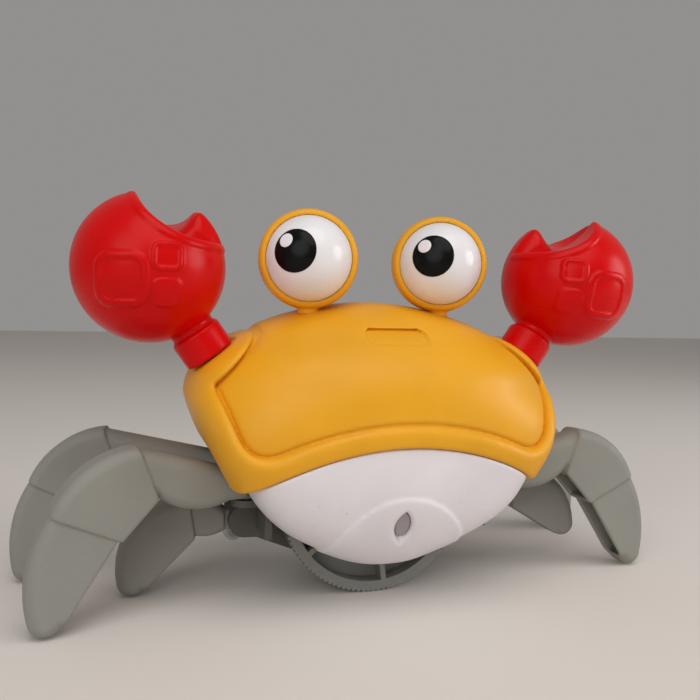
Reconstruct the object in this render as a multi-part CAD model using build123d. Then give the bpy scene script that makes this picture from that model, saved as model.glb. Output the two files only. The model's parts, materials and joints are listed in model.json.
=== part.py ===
"""Motorised crawling crab toy.

Millimetres, +Z up. The crab faces -Y and crawls along X. The origin is on the floor under the body's centre.
The legs, eyes and claws are stored as caught in one moment of the walk.
"""
import math
import os

from build123d import *

# Clearances
running_gap = 0.05
side_gap = 0.25
seat_gap = 0.02
seam_gap = 0.1
floor_gap = 0.4

# Yellow top shell: an ellipsoid dome panel framed by a fuller rim
wall = 2.0
dome_half_length = 60.0
dome_radius = 41.3
dome_height = 48.0
rim_half_width = 56.5
rim_half_depth = 43.0
rim_height = 61.0
rim_rise = 25.0
rim_drop = 46.0
rim_plan_power = 2.6
rim_side_power = 2.2
rim_flank_drop = 85.0
rim_flank_power = 1.2
panel_sink = 1.5
parting_radius = 79.5
parting_crest = 49.5
rim_band = 6.3
panel_corner_half_width = 39.0
panel_half_width = 50.6
panel_side_height = 64.7
panel_top_half_width = 39.5
panel_top_height = 79.5
panel_corner_radius = 5.0
slot_length = 18.0
slot_width = 4.6
slot_line = 1.0
slot_depth = 0.6
slot_height = 79.5

# White belly shell
belly_radius = 46.8
belly_centre_height = 58.2
belly_half_depth = 41.0
belly_top = 50.0
belly_drop = 42.0
belly_power = 2.5
belly_bottom = 12.0
bib_radius = 20.2
bib_rise = 0.6
bib_depth = 20.0
window_width = 3.6
window_length = 7.6
window_height = 27.2

# Leg bays in the sides of the belly, and the windows above them in the top shell
bay_half_width = 33.0
bay_front = -18.5
bay_rear = 24.0
leg_window_rear = 27.5
leg_window_top = 45.5
leg_window_half_width = 36.0
leg_window_radius = 6.0

# Body screws
post_x = 22.0
post_y = 29.0
post_radius = 3.4
screw_radius = 1.2
screw_head_radius = 2.5
screw_head_height = 2.0
screw_head_level = 27.0
screw_length = 26.0

# Drive: two toothed wheels on one cross axle
wheel_radius = 29.0
wheel_width = 7.0
wheel_rim = 2.6
wheel_web = 1.8
wheel_hub_radius = 5.0
wheel_rib = 1.6
wheel_rib_count = 6
wheel_rib_start = -82.0
wheel_teeth = 110
wheel_tooth_depth = 0.7
wheel_front = -12.0
wheel_slot_half_width = 30.5
wheel_slot_gap = 1.5
wheel_slot_top = 28.0
axle_radius = 2.0
bush_radius = 3.5
bush_flange_radius = 4.6
bush_flange = 0.6

# Gear train
gear_module = 0.8
pressure_angle = 25.0
tooth_addendum = 0.8
tooth_dedendum = 1.05
backlash = 0.16
axle_gear_teeth = 32
idler_small_teeth = 16
idler_large_teeth = 36
pinion_teeth = 10
first_gear_width = 3.4
second_gear_width = 3.0
gear_plane_gap = 0.9
idler_pin_radius = 1.5

# Gearbox frame and motor
plate_thickness = 2.0
plate_gap = 9.0
plate_clear = 1.5
frame_half_width = 31.0
frame_low = 22.0
frame_shoulder_low = 28.0
frame_shoulder_high = 45.0
frame_head_half_width = 11.0
frame_head = 77.0
spacer_radius = 2.0
motor_radius = 7.5
motor_length = 20.0
motor_cap_radius = 4.0
motor_cap_length = 2.0
motor_shaft_radius = 1.0
motor_shaft_depth = 10.0

# Leg brackets and hips
bracket_plate = 2.0
bracket_front = -17.5
bracket_rear = 23.0
bracket_low = 20.0
bracket_high = 46.0
hip_x = 39.3
hip_front_y = -10.0
hip_rear_y = 14.0
hip_low = 31.2
hip_high = 40.8
hip_boss_radius = 3.6
hip_pin_radius = 1.5
ear_thickness = 2.0
ear_radius = 4.5
middle_hip_x = 38.5
middle_hip_z = 22.0
middle_ear_radius = 3.8
middle_root_width = 6.5
keel_inner_x = 24.0
keel_low = 12.5
keel_outer_low = 17.0
cheek_radius = 4.9
cheek_high = 30.0

# Walking legs
front_knee_reach = 33.0
rear_knee_reach = 41.0
knee_height = 48.0
knee_lean = 5.4
knee_depth = 13.2
thigh_sag = 29.6
shin_outer_reach = 22.0
shin_outer_height = 32.0
shin_inner_reach = 3.7
shin_inner_height = 23.6
tip_reach = 22.6
toe_radius = 4.4
toe_lean = 12.0
thigh_thickness = 10.0
shin_thickness = 11.4
tip_thickness = 9.6
leg_edge_radius = 2.6
leg_wall = 2.0
leg_step = 0.7
front_leg_angle = -4.5
rear_leg_angle = 16.2
leg_swing = 7.4

# Middle legs
middle_knee_reach = 16.5
middle_tip_reach = 33.0
middle_thickness = 8.0
middle_lift = 13.9

# Side rollers
roller_x = 36.5
roller_y = 36.0
roller_radius = 3.5
roller_width = 4.0
roller_height = 8.4
roller_pin_radius = 1.0
roller_head_radius = 1.9
roller_head = 0.8
stay_thickness = 1.5
stay_half_width = 2.5
stay_rise = 6.0

# Eyes
eye_x = 21.2
eye_y = -8.0
eye_height = 101.6
cup_radius = 15.0
cup_opening = 5.0
eyeball_radius = 12.9
eyeball_forward = 2.2
neck_radius = 3.2
neck_stem_radius = 2.4
eye_boss_radius = 5.5
eye_boss_low = 80.0
pupil_radius = 6.2
pupil_depth = 0.6
glint_radius = 1.95
glint_depth = 0.3
left_eye_turn = -10.7
right_eye_turn = -15.8
left_gaze = (-17.5, 12.0)
right_gaze = (-13.0, 13.0)
glint_offset = (-12.0, 12.0)

# Claws
claw_radius = 22.1
claw_skin = 0.5
wrist_x = 50.3
wrist_y = -8.4
wrist_height = 73.2
arm_lean = 35.0
collar_radius = 7.5
collar_length = 9.6
arm_boss_radius = 9.0
arm_boss_depth = 6.0
arm_seat_sink = 0.8
claw_stem_radius = 4.5
claw_bore_radius = 2.6
bite_radius = 23.4
bite_inward = 18.0
bite_height = 30.2
bite_back = -2.0
trough_radius = 11.5
trough_inward = 3.2
trough_height = 21.6
trough_slope = 18.0
claw_look = 8.0
lip_width = 2.8
patch_rise = 0.5
patch_line = 1.9
left_claw_turn = 0.0
right_claw_turn = 0.0
clip_thickness = 1.2
clip_width = 2.6

# Electrics
battery_radius = 7.0
battery_length = 33.0
battery_y = -27.0
battery_height = 38.5
battery_button_radius = 2.6
battery_button = 1.2
cradle_x = 10.0
cradle_thickness = 2.0
cradle_depth = 12.0
board_width = 34.0
board_height = 30.0
board_thickness = 1.6
board_y = 27.0
board_low = 26.0
board_rail_x = 5.6
board_rail_rise = 4.0
board_rail_depth = 10.0
speaker_radius = 10.0
speaker_depth = 5.0
speaker_height = 44.0
sensor_radius = 2.5
sensor_length = 6.0
sensor_back = 1.2
sensor_tube = 1.6
socket_width = 7.6
socket_height = 2.8
socket_level = 31.0
switch_x = 12.5
switch_level = 31.0
switch_width = 9.0
switch_height = 5.0
switch_knob_width = 3.4
switch_knob_height = 2.6
switch_travel = 4.0
switch_proud = 1.2


# Places worked out from the sizes above
axle_height = wheel_radius
idler_height = axle_height + gear_module * (axle_gear_teeth + idler_small_teeth) / 2
motor_height = idler_height + gear_module * (idler_large_teeth + pinion_teeth) / 2
wheel_back = wheel_front + wheel_width
plate_front = wheel_back + plate_clear
gear_space_front = plate_front + plate_thickness
gear_space_rear = gear_space_front + plate_gap
plate_rear = gear_space_rear + plate_thickness
rear_wheel_front = plate_rear + plate_clear
rear_wheel_back = rear_wheel_front + wheel_width
first_gear_front = gear_space_front + bush_flange + side_gap
second_gear_front = first_gear_front + first_gear_width + gear_plane_gap
middle_y = (gear_space_front + gear_space_rear) / 2
parting_centre = parting_crest - parting_radius
bracket_x = bay_half_width + bracket_plate
arm = Vector(math.sin(math.radians(arm_lean)), 0, math.cos(math.radians(arm_lean)))
wrist = Vector(wrist_x, wrist_y, wrist_height) - arm * arm_seat_sink
far = 200.0

parts = {}


def signed_power(value, power):
    """A power that keeps the sign of its base."""
    return math.copysign(abs(value) ** power, value)


def oval(half_width, half_depth, height, power=rim_plan_power, points=16):
    """A closed superellipse face at a height."""
    outline = []
    for index in range(points):
        angle = 2 * math.pi * index / points
        x = half_width * signed_power(math.cos(angle), 2 / power)
        y = half_depth * signed_power(math.sin(angle), 2 / power)
        outline.append((x, y, height))
    return make_face(Spline(*outline, periodic=True))


def box_between(low, high):
    """A box from its low corner to its high corner."""
    size = [high[axis] - low[axis] for axis in range(3)]
    centre = [(high[axis] + low[axis]) / 2 for axis in range(3)]
    return Pos(*centre) * Box(*size)


def rod(start, direction, radius, length):
    """A round bar from a point along a direction."""
    plane = Plane(origin=start, z_dir=direction)
    return plane * Cylinder(radius, length, align=(Align.CENTER, Align.CENTER, Align.MIN))


def rod_y(x, z, radius, front, rear):
    """A round bar along Y."""
    return rod((x, front, z), (0, 1, 0), radius, rear - front)


def rod_z(x, y, radius, low, high):
    """An upright round bar."""
    return rod((x, y, low), (0, 0, 1), radius, high - low)


def front_prism(sketch, front, rear):
    """A front-view outline, drawn in X and Z, pulled along Y."""
    return Pos(0, rear, 0) * extrude(Plane.XZ * sketch, amount=rear - front)


def mirrored(solid):
    """The other side's copy of a piece."""
    return mirror(solid, about=Plane.YZ)


def both_sides(solid):
    """A piece and its mirror image."""
    return solid + mirrored(solid)


# Body forms


def rim_size(height, inset=0.0):
    """Half width and half depth of the rim at a height."""
    reach = rim_rise if height > rim_height else rim_drop
    share = abs(height - rim_height) / reach
    depth_scale = (1 - share ** rim_side_power) ** (1 / rim_side_power)
    width_scale = depth_scale
    if height < rim_height:
        flank = (rim_height - height) / rim_flank_drop
        width_scale = (1 - flank ** rim_flank_power) ** (1 / rim_flank_power)
    return rim_half_width * width_scale - inset, rim_half_depth * depth_scale - inset


def rim_form(inset=0.0):
    """The full rim body before the dome panel is cut out of it."""
    heights = [rim_height - rim_drop * share for share in (0.76, 0.56, 0.35, 0.16)]
    heights += [rim_height + rim_rise * share for share in (0.04, 0.35, 0.62, 0.82)]
    return loft([oval(*rim_size(height, inset), height) for height in heights])


def rim_core():
    """Room inside the rim, straight-sided above its widest place."""
    heights = [rim_height - rim_drop * share for share in (0.76, 0.5, 0.25, 0.0)]
    lower = loft([oval(*rim_size(height, wall), height) for height in heights])
    upper = extrude(oval(*rim_size(rim_height, wall), rim_height), amount=dome_radius)
    return lower + upper


def dome_form(inset=0.0):
    """The ellipsoid of the dome, turned about X."""
    half_length = dome_half_length - inset
    radius = dome_radius - inset
    arc = EllipticalCenterArc((0, 0), half_length, radius, start_angle=0, arc_size=180)
    profile = make_face([arc, Line((-half_length, 0), (half_length, 0))])
    return Pos(0, 0, dome_height) * revolve(profile, axis=Axis.X)


def panel_outline():
    """Front outline of the dome panel: an arched foot, flared sides and an open top."""
    foot_radius = parting_radius + rim_band
    foot_crest = parting_centre + foot_radius
    foot_end = parting_centre + math.sqrt(foot_radius ** 2 - panel_corner_half_width ** 2)
    top = dome_height + dome_radius + rim_band
    corner = (panel_corner_half_width, foot_end)
    side = (panel_half_width, panel_side_height)
    shoulder = (panel_top_half_width, panel_top_height)
    lead = panel_top_half_width - rim_band
    right = [corner, side, shoulder, (lead, top)]
    left = [(-x, z) for x, z in reversed(right)]
    foot = ThreePointArc(left[-1], (0, foot_crest), corner)
    face = make_face([foot, Polyline(*right, *left)])
    rounded = [vertex for vertex in face.vertices() if vertex.Y < panel_top_height - rim_band]
    return fillet(rounded, panel_corner_radius)


def parting_roll(radius):
    """The arched surface that parts the two shells."""
    return rod_y(0, parting_centre, radius, -far, far)


def belly_size(height, inset=0.0):
    """Half width and half depth of the belly at a height."""
    radius = belly_radius - inset
    half_width = math.sqrt(radius ** 2 - (belly_centre_height - height) ** 2)
    share = max(belly_top - height, 0) / (belly_drop - inset)
    half_depth = (belly_half_depth - inset) * (1 - share ** belly_power) ** (1 / belly_power)
    return half_width, half_depth


def belly_form(inset=0.0):
    """The bowl of the belly, flat underneath."""
    low = belly_bottom + inset
    high = belly_top + 2
    heights = [low + (high - low) * share for share in (0, 0.08, 0.22, 0.42, 0.68, 1)]
    return loft([oval(*belly_size(height, inset), height) for height in heights])


def bays(grow=0.0):
    """The two flat-sided bays that the legs stand in."""
    low = (bay_half_width - grow, bay_front - grow, -far)
    high = (far, bay_rear + grow, far)
    return both_sides(box_between(low, high))


def posts(radius, low, high):
    """Four upright columns at the screw places."""
    column = rod_z(post_x, post_y, radius, low, high)
    column += rod_z(post_x, -post_y, radius, low, high)
    return both_sides(column)


def belly_front(height, x=0.0, inset=0.0):
    """How far the belly's skin stands from the middle plane at a height."""
    half_width, half_depth = belly_size(height, inset)
    return half_depth * (1 - (abs(x) / half_width) ** rim_plan_power) ** (1 / rim_plan_power)


# Shells


def arm_rod(radius, start, end):
    """A round bar along the right arm, measured outwards from the wrist seat."""
    return rod(wrist + arm * start, arm, radius, end - start)


def slot_mark():
    """The rounded slot line pressed into the front of the dome."""
    outer = SlotOverall(slot_length, slot_width)
    line = outer - offset(outer, amount=-slot_line)
    return front_prism(Pos(0, slot_height) * line, -dome_radius, 0)


def top_shell():
    """Dome panel and rim in one hollow moulding."""
    panel = panel_outline()
    panel_prism = front_prism(panel, -far, far)
    wide_prism = front_prism(offset(panel, amount=slot_line), -far, far)
    panel_form = dome_form() + rim_form(panel_sink)
    outer = (rim_form() - panel_prism) + (panel_form & wide_prism)
    outer -= slot_mark() - dome_form(slot_depth) - rim_form(panel_sink + slot_depth)
    bosses = both_sides(arm_rod(arm_boss_radius, -arm_boss_depth, wall))
    bosses += both_sides(rod_z(eye_x, eye_y, eye_boss_radius, eye_boss_low, dome_height + dome_radius))
    bosses += posts(post_radius, belly_bottom, dome_height + dome_radius)
    room = (dome_form(wall) & rim_core()) + rim_form(panel_sink + wall)
    shell = outer - room + (bosses & outer)
    shell -= both_sides(arm_rod(collar_radius + side_gap, 0, far))
    shell -= both_sides(arm_rod(claw_stem_radius + running_gap, -far / 10, far))
    clip_room = claw_stem_radius + clip_width + 2 * side_gap
    shell -= both_sides(arm_rod(clip_room, -arm_boss_depth - 3 * clip_thickness, -arm_boss_depth))
    shell -= both_sides(rod_z(eye_x, eye_y, neck_stem_radius + running_gap, 0, far))
    shell -= posts(screw_radius + seat_gap, 0, screw_head_level + screw_length)
    shell -= parting_roll(parting_radius)
    middle = (bay_front + leg_window_rear) / 2
    height = 2 * leg_window_top
    window = Pos(middle, 0) * RectangleRounded(leg_window_rear - bay_front, height, leg_window_radius)
    side = extrude(Plane.YZ * window, amount=far)
    return shell - both_sides(Pos(leg_window_half_width, 0, 0) * side)


def almond():
    """The pointed oval of the sensor window."""
    radius = (window_length ** 2 + window_width ** 2) / (4 * window_width)
    shift = radius - window_width / 2
    return (Pos(-shift, 0) * Circle(radius)) & (Pos(shift, 0) * Circle(radius))


def belly_shell():
    """Bowl with the raised bib, bays, wheel slot, posts and inner seats."""
    bowl = belly_form()
    room = belly_form(wall) - bays(wall)
    front = -belly_half_depth - wall
    bib = front_prism(Pos(0, belly_bottom) * Circle(bib_radius), front, -bib_depth)
    shell = bowl - bays() + (belly_form(-bib_rise) & bib) - room
    seats = posts(post_radius, 0, belly_top)
    cradle = (cradle_thickness, cradle_depth, 2 * battery_radius)
    cradle_base = battery_height - battery_radius
    seats += both_sides(Pos(cradle_x, battery_y, cradle_base) * Box(*cradle))
    rail = (cradle_thickness, board_rail_depth, 2 * board_rail_rise)
    rail_rear = both_sides(Pos(board_rail_x, board_y + board_thickness / 2, board_low) * Box(*rail))
    rail_foot = both_sides(box_between(
        (board_rail_x - cradle_thickness / 2, board_y - board_rail_depth / 2, belly_bottom),
        (board_rail_x + cradle_thickness / 2, board_y + board_rail_depth / 2, board_low)))
    cradle_foot = both_sides(box_between(
        (cradle_x - cradle_thickness / 2, battery_y - cradle_depth / 2, belly_bottom),
        (cradle_x + cradle_thickness / 2, battery_y + cradle_depth / 2, cradle_base)))
    tube_front = -belly_front(window_height) + wall / 2
    tube = rod_y(0, window_height, sensor_radius + sensor_tube, tube_front, tube_front + sensor_length)
    seats += rail_rear + rail_foot + cradle_foot + tube
    shell += seats & bowl
    shell -= battery_cell(seat_gap)
    board_low_corner = (-board_width / 2, board_y - seat_gap, board_low)
    board_high_corner = (board_width / 2, board_y + board_thickness + seat_gap, belly_top)
    shell -= box_between(board_low_corner, board_high_corner)
    shell -= front_prism(Pos(0, window_height) * almond(), -far, tube_front + sensor_back)
    sensor_front = tube_front + sensor_back
    shell -= rod_y(0, window_height, sensor_radius + seat_gap, sensor_front, sensor_front + far / 10)
    slot_front = wheel_front - wheel_slot_gap
    slot_rear = rear_wheel_back + wheel_slot_gap
    shell -= box_between((-wheel_slot_half_width, slot_front, 0), (wheel_slot_half_width, slot_rear, wheel_slot_top))
    shell -= posts(screw_radius + seam_gap, 0, belly_top)
    shell -= posts(screw_head_radius + seam_gap, 0, screw_head_level)
    shell -= switch_slot()
    shell -= Pos(0, belly_half_depth, socket_level) * Box(socket_width, 2 * wall + 8, socket_height)
    return shell & parting_roll(parting_radius - seam_gap)


def body_screws():
    """Four screws from below, heads sunk in the posts."""
    shank = posts(screw_radius, screw_head_level - screw_head_height, screw_head_level + screw_length)
    return shank + posts(screw_head_radius, screw_head_level - screw_head_height, screw_head_level)


# Drive train


def tooth_angle(radius, base):
    """Involute function at a radius."""
    pressure = math.acos(min(base / radius, 1.0))
    return math.tan(pressure) - pressure


def gear_outline(teeth, start_angle):
    """A spur gear outline with a tooth centred on the start angle."""
    pitch = gear_module * teeth / 2
    base = pitch * math.cos(math.radians(pressure_angle))
    tip = pitch + tooth_addendum * gear_module
    root = pitch - tooth_dedendum * gear_module
    half_tooth = (math.pi * gear_module / 2 - backlash) / (2 * pitch)
    lowest = max(base, root)
    radii = [lowest + (tip - lowest) * step / 2 for step in range(3)]
    flank = [(root, half_tooth + tooth_angle(pitch, base))]
    flank += [(radius, half_tooth + tooth_angle(pitch, base) - tooth_angle(radius, base)) for radius in radii]
    points = []
    for tooth in range(teeth):
        middle = math.radians(start_angle) + 2 * math.pi * tooth / teeth
        for radius, half_angle in flank:
            points.append((radius, middle - half_angle))
        for radius, half_angle in reversed(flank):
            points.append((radius, middle + half_angle))
    corners = [(radius * math.cos(angle), radius * math.sin(angle)) for radius, angle in points]
    return make_face(Polyline(*corners, close=True))


def gear(teeth, start_angle, height, front, width):
    """A spur gear on a cross shaft."""
    return front_prism(Pos(0, height) * gear_outline(teeth, start_angle), front, front + width)


def tread_outline():
    """The wheel's outer edge with its fine teeth."""
    points = []
    for index in range(wheel_teeth):
        step = 2 * math.pi / wheel_teeth
        for radius, share in ((wheel_radius, 0.0), (wheel_radius, 0.35), (wheel_radius - wheel_tooth_depth, 0.7)):
            angle = (index + share) * step - math.pi / 2
            points.append((radius * math.cos(angle), radius * math.sin(angle)))
    return make_face(Polyline(*points, close=True))


def wheel(front, outward, inner_reach):
    """A toothed wheel with a recessed web and radial ribs on its outward side."""
    centre = Pos(0, axle_height)
    rim_radius = wheel_radius - wheel_tooth_depth - wheel_rim
    back = front + wheel_width
    body = front_prism(centre * (tread_outline() - Circle(rim_radius)), front, back)
    web_front = front if outward > 0 else back - wheel_web
    body += front_prism(centre * Circle(rim_radius + wheel_rim / 2), web_front, web_front + wheel_web)
    rib = Pos(rim_radius / 2 + wheel_rim / 4, 0) * Rectangle(rim_radius + wheel_rim / 2, wheel_rib)
    for index in range(wheel_rib_count):
        turn = Rot(0, 0, wheel_rib_start + 360 * index / wheel_rib_count)
        body += front_prism(centre * (turn * rib), front, back)
    hub_front = front - (inner_reach if outward > 0 else 0)
    hub_back = back + (inner_reach if outward < 0 else 0)
    body += rod_y(0, axle_height, wheel_hub_radius, hub_front, hub_back)
    return body - rod_y(0, axle_height, axle_radius + seat_gap, -far, far)


def drive_axle():
    """The cross axle with domed ends."""
    bar = rod_y(0, axle_height, axle_radius, wheel_front - axle_radius / 2, rear_wheel_back + axle_radius / 2)
    return chamfer(bar.edges().filter_by(GeomType.CIRCLE), axle_radius / 5)


def axle_bushes():
    """Two flanged bushes in the plates."""
    front = rod_y(0, axle_height, bush_radius, plate_front, gear_space_front + bush_flange)
    front += rod_y(0, axle_height, bush_flange_radius, gear_space_front, gear_space_front + bush_flange)
    rear = rod_y(0, axle_height, bush_radius, gear_space_rear - bush_flange, plate_rear)
    rear += rod_y(0, axle_height, bush_flange_radius, gear_space_rear - bush_flange, gear_space_rear)
    return (front + rear) - rod_y(0, axle_height, axle_radius + running_gap, -far, far)


def axle_gear():
    """The last gear of the train, fast on the axle."""
    body = gear(axle_gear_teeth, 90, axle_height, first_gear_front, first_gear_width)
    hub_rear = gear_space_rear - bush_flange - side_gap
    body += rod_y(0, axle_height, wheel_hub_radius - axle_radius / 2, first_gear_front, hub_rear)
    return body - rod_y(0, axle_height, axle_radius + seat_gap, -far, far)


def idler_gear():
    """The compound gear between motor and axle."""
    gap_angle = -90 + 180 / idler_small_teeth
    body = gear(idler_small_teeth, gap_angle, idler_height, first_gear_front, first_gear_width + gear_plane_gap)
    body += gear(idler_large_teeth, 90, idler_height, second_gear_front, second_gear_width)
    hub_rear = gear_space_rear - side_gap
    hub_front = gear_space_front + side_gap
    body += rod_y(0, idler_height, 2 * idler_pin_radius, hub_front, hub_rear)
    return body - rod_y(0, idler_height, idler_pin_radius + running_gap, -far, far)


def motor_pinion():
    """The pinion on the motor's shaft."""
    gap_angle = -90 + 180 / pinion_teeth
    body = gear(pinion_teeth, gap_angle, motor_height, second_gear_front, second_gear_width)
    return body + rod_y(0, motor_height, motor_shaft_radius, plate_front - motor_shaft_depth,
                        second_gear_front + second_gear_width)


def motor():
    """The motor can with its rear bearing cap and front boss."""
    can = rod_y(0, motor_height, motor_radius, plate_front - motor_length, plate_front)
    can = fillet(can.edges().filter_by(GeomType.CIRCLE).sort_by(Axis.Y)[0], motor_cap_length / 2)
    can += rod_y(0, motor_height, motor_cap_radius, plate_front - motor_length - motor_cap_length,
                 plate_front - motor_length)
    shaft_room = plate_front - motor_shaft_depth - side_gap
    return can - rod_y(0, motor_height, motor_shaft_radius + running_gap, shaft_room, far)


def frame_plate():
    """Outline of a gearbox plate."""
    right = [(frame_half_width - 2 * spacer_radius, frame_low), (frame_half_width, frame_shoulder_low),
             (frame_half_width, frame_shoulder_high), (frame_head_half_width, idler_height + motor_radius),
             (frame_head_half_width, frame_head)]
    left = [(-x, z) for x, z in reversed(right)]
    plate = make_face(Polyline(*right, *left, close=True))
    return fillet(plate.vertices().group_by(Axis.Y)[-1], spacer_radius)


def gearbox_frame():
    """Two plates held apart by spacers."""
    plate = frame_plate() - Pos(0, axle_height) * Circle(bush_radius + seat_gap)
    plate -= Pos(0, idler_height) * Circle(idler_pin_radius + seat_gap)
    front = plate - Pos(0, motor_height) * Circle(2 * motor_shaft_radius)
    frame = front_prism(front, plate_front, gear_space_front)
    frame += front_prism(plate, gear_space_rear, plate_rear)
    spacer_x = frame_half_width - 3 * spacer_radius
    low = rod_y(spacer_x, frame_shoulder_low + 2 * spacer_radius, spacer_radius, gear_space_front, gear_space_rear)
    high_x = frame_head_half_width - 1.5 * spacer_radius
    high = rod_y(high_x, frame_head - 2 * spacer_radius, spacer_radius, gear_space_front, gear_space_rear)
    return frame + both_sides(low + high)


# Legs


def slab(sketch, thickness, edge):
    """A leg segment: its side outline, thickened about its own plane, with rounded edges."""
    solid = extrude(Plane.XZ * sketch, amount=thickness / 2, both=True)
    rims = solid.faces().filter_by(Axis.Y).edges()
    return fillet(rims, edge)


def leg_thigh(knee):
    """Side outline from hip to knee."""
    knee_top = (knee, knee_height)
    knee_bottom = (knee - knee_lean, knee_height - knee_depth)
    neck = hip_boss_radius + ear_radius / 2
    top = Spline((neck, hip_high), (0.6 * knee + 0.4 * neck, hip_high + 0.42 * (knee_height - hip_high)), knee_top,
                 tangents=((1, 0), (1, 0.3)))
    sag = ThreePointArc(knee_bottom, (0.55 * knee_bottom[0], thigh_sag), (neck, hip_low))
    back = Polyline((neck, hip_low), (0, hip_low), (0, hip_high), (neck, hip_high))
    return make_face([top, Line(knee_top, knee_bottom), sag, back])


def leg_shin(knee):
    """Side outline of the middle armour segment."""
    start = (knee - leg_step, knee_height + leg_step)
    outer = (knee + shin_outer_reach, shin_outer_height)
    bulge = (knee + 0.6 * shin_outer_reach, 0.72 * knee_height + 0.28 * shin_outer_height)
    inner = (knee + shin_inner_reach, shin_inner_height)
    low = (knee - knee_lean - leg_step, knee_height - knee_depth - leg_step)
    return make_face([ThreePointArc(start, bulge, outer), Polyline(outer, inner, low, start)])


def pointed(outer, inner, toe, radius, lean):
    """A claw-like outline: a round toe, a bowed outer edge and a straight inner edge."""
    centre = (toe[0], toe[1] + radius)

    def on_toe(angle):
        turn = math.radians(angle)
        return centre[0] + radius * math.cos(turn), centre[1] + radius * math.sin(turn)

    reach_x = inner[0] - centre[0]
    reach_z = inner[1] - centre[1]
    sole = math.degrees(math.atan2(reach_z, reach_x) + math.acos(radius / math.hypot(reach_x, reach_z)))
    upward = (math.sin(math.radians(lean)), math.cos(math.radians(lean)))
    bow = TangentArc(on_toe(-lean), outer, tangent=upward)
    under = ThreePointArc(on_toe(-lean), on_toe((sole - 360 - lean) / 2), on_toe(sole))
    return make_face([bow, under, Polyline(on_toe(sole), inner, outer)])


def leg_tip(knee):
    """Side outline of the clawed end segment."""
    outer = (knee + shin_outer_reach - leg_step, shin_outer_height + leg_step)
    inner = (knee + shin_inner_reach + leg_step, shin_inner_height + leg_step)
    return pointed(outer, inner, (knee + tip_reach, floor_gap), toe_radius, toe_lean)


def leg_hollow(knee):
    """The channel moulded into the inner side of the leg."""
    shin = [(knee, knee_height - 2 * leg_wall), (knee + 0.52 * shin_outer_reach, knee_height - 4.4 * leg_wall),
            (knee + shin_outer_reach - leg_wall, shin_outer_height - leg_wall),
            (knee + tip_reach + 0.6, 0.55 * shin_outer_height), (knee + tip_reach, 4 * leg_wall),
            (knee + tip_reach - 7.5, 1.2 * leg_wall), (knee - leg_wall, shin_inner_height - leg_wall),
            (knee - knee_lean - leg_wall, knee_height - knee_depth)]
    return extrude(Plane.XZ * make_face(Polyline(*shin, close=True)), amount=tip_thickness / 2 - leg_wall, both=True)


def walking_leg(knee):
    """A leg in its own plane, with its upright hip axis at the origin."""
    leg = slab(leg_thigh(knee), thigh_thickness, leg_edge_radius)
    leg += slab(leg_shin(knee), shin_thickness, leg_edge_radius)
    leg += slab(leg_tip(knee), tip_thickness, leg_edge_radius)
    leg += rod_z(0, 0, hip_boss_radius, hip_low, hip_high)
    leg -= leg_hollow(knee)
    return leg - rod_z(0, 0, hip_pin_radius + running_gap, 0, far)


def middle_leg():
    """A middle leg in its own plane, with its cross hip axis at the origin."""
    knee = middle_knee_reach
    tip = middle_tip_reach
    drop = middle_hip_z - floor_gap
    root = middle_ear_radius + 1.5
    top = ThreePointArc((root, 3.3), (0.62 * knee, 6.2), (knee + 1, 7.4))
    below = ThreePointArc((knee - 1, -4.4), (0.62 * knee, -5.0), (root, -3.3))
    ends = [Line((knee + 1, 7.4), (knee - 1, -4.4)), Line((root, -3.3), (root, 3.3))]
    thigh = make_face([top, below, *ends])
    blade = pointed((knee, 8.0), (knee - 2, -5.0), (tip, -drop), toe_radius, toe_lean)
    leg = slab(thigh, middle_thickness, 0.8 * leg_edge_radius)
    leg += slab(blade, middle_thickness + 2 * leg_step, leg_edge_radius)
    half = middle_root_width / 2
    boss = rod_y(0, 0, middle_ear_radius - 0.5, -half, half)
    boss += box_between((0, -half, 1 - middle_ear_radius), (root + 4, half, middle_ear_radius - 1))
    leg += boss
    return leg - rod_y(0, 0, hip_pin_radius + running_gap, -far, far)


def place_leg(leg, hip_y, angle):
    """Stand a walking leg on its right-hand hip."""
    return Pos(hip_x, hip_y, 0) * (Rot(0, 0, angle) * leg)


def legs():
    """Six legs, caught with the left side forward and the right middle leg lifted."""
    front = walking_leg(front_knee_reach)
    rear = walking_leg(rear_knee_reach)
    parts["leg_front_right"] = place_leg(front, hip_front_y, front_leg_angle + leg_swing)
    parts["leg_front_left"] = mirrored(place_leg(front, hip_front_y, front_leg_angle - leg_swing))
    parts["leg_rear_right"] = place_leg(rear, hip_rear_y, rear_leg_angle + leg_swing)
    parts["leg_rear_left"] = mirrored(place_leg(rear, hip_rear_y, rear_leg_angle - leg_swing))
    middle = middle_leg()
    hip = Pos(middle_hip_x, middle_y, middle_hip_z)
    parts["leg_middle_left"] = mirrored(hip * middle)
    parts["leg_middle_right"] = hip * (Rot(0, -middle_lift, 0) * middle)


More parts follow.
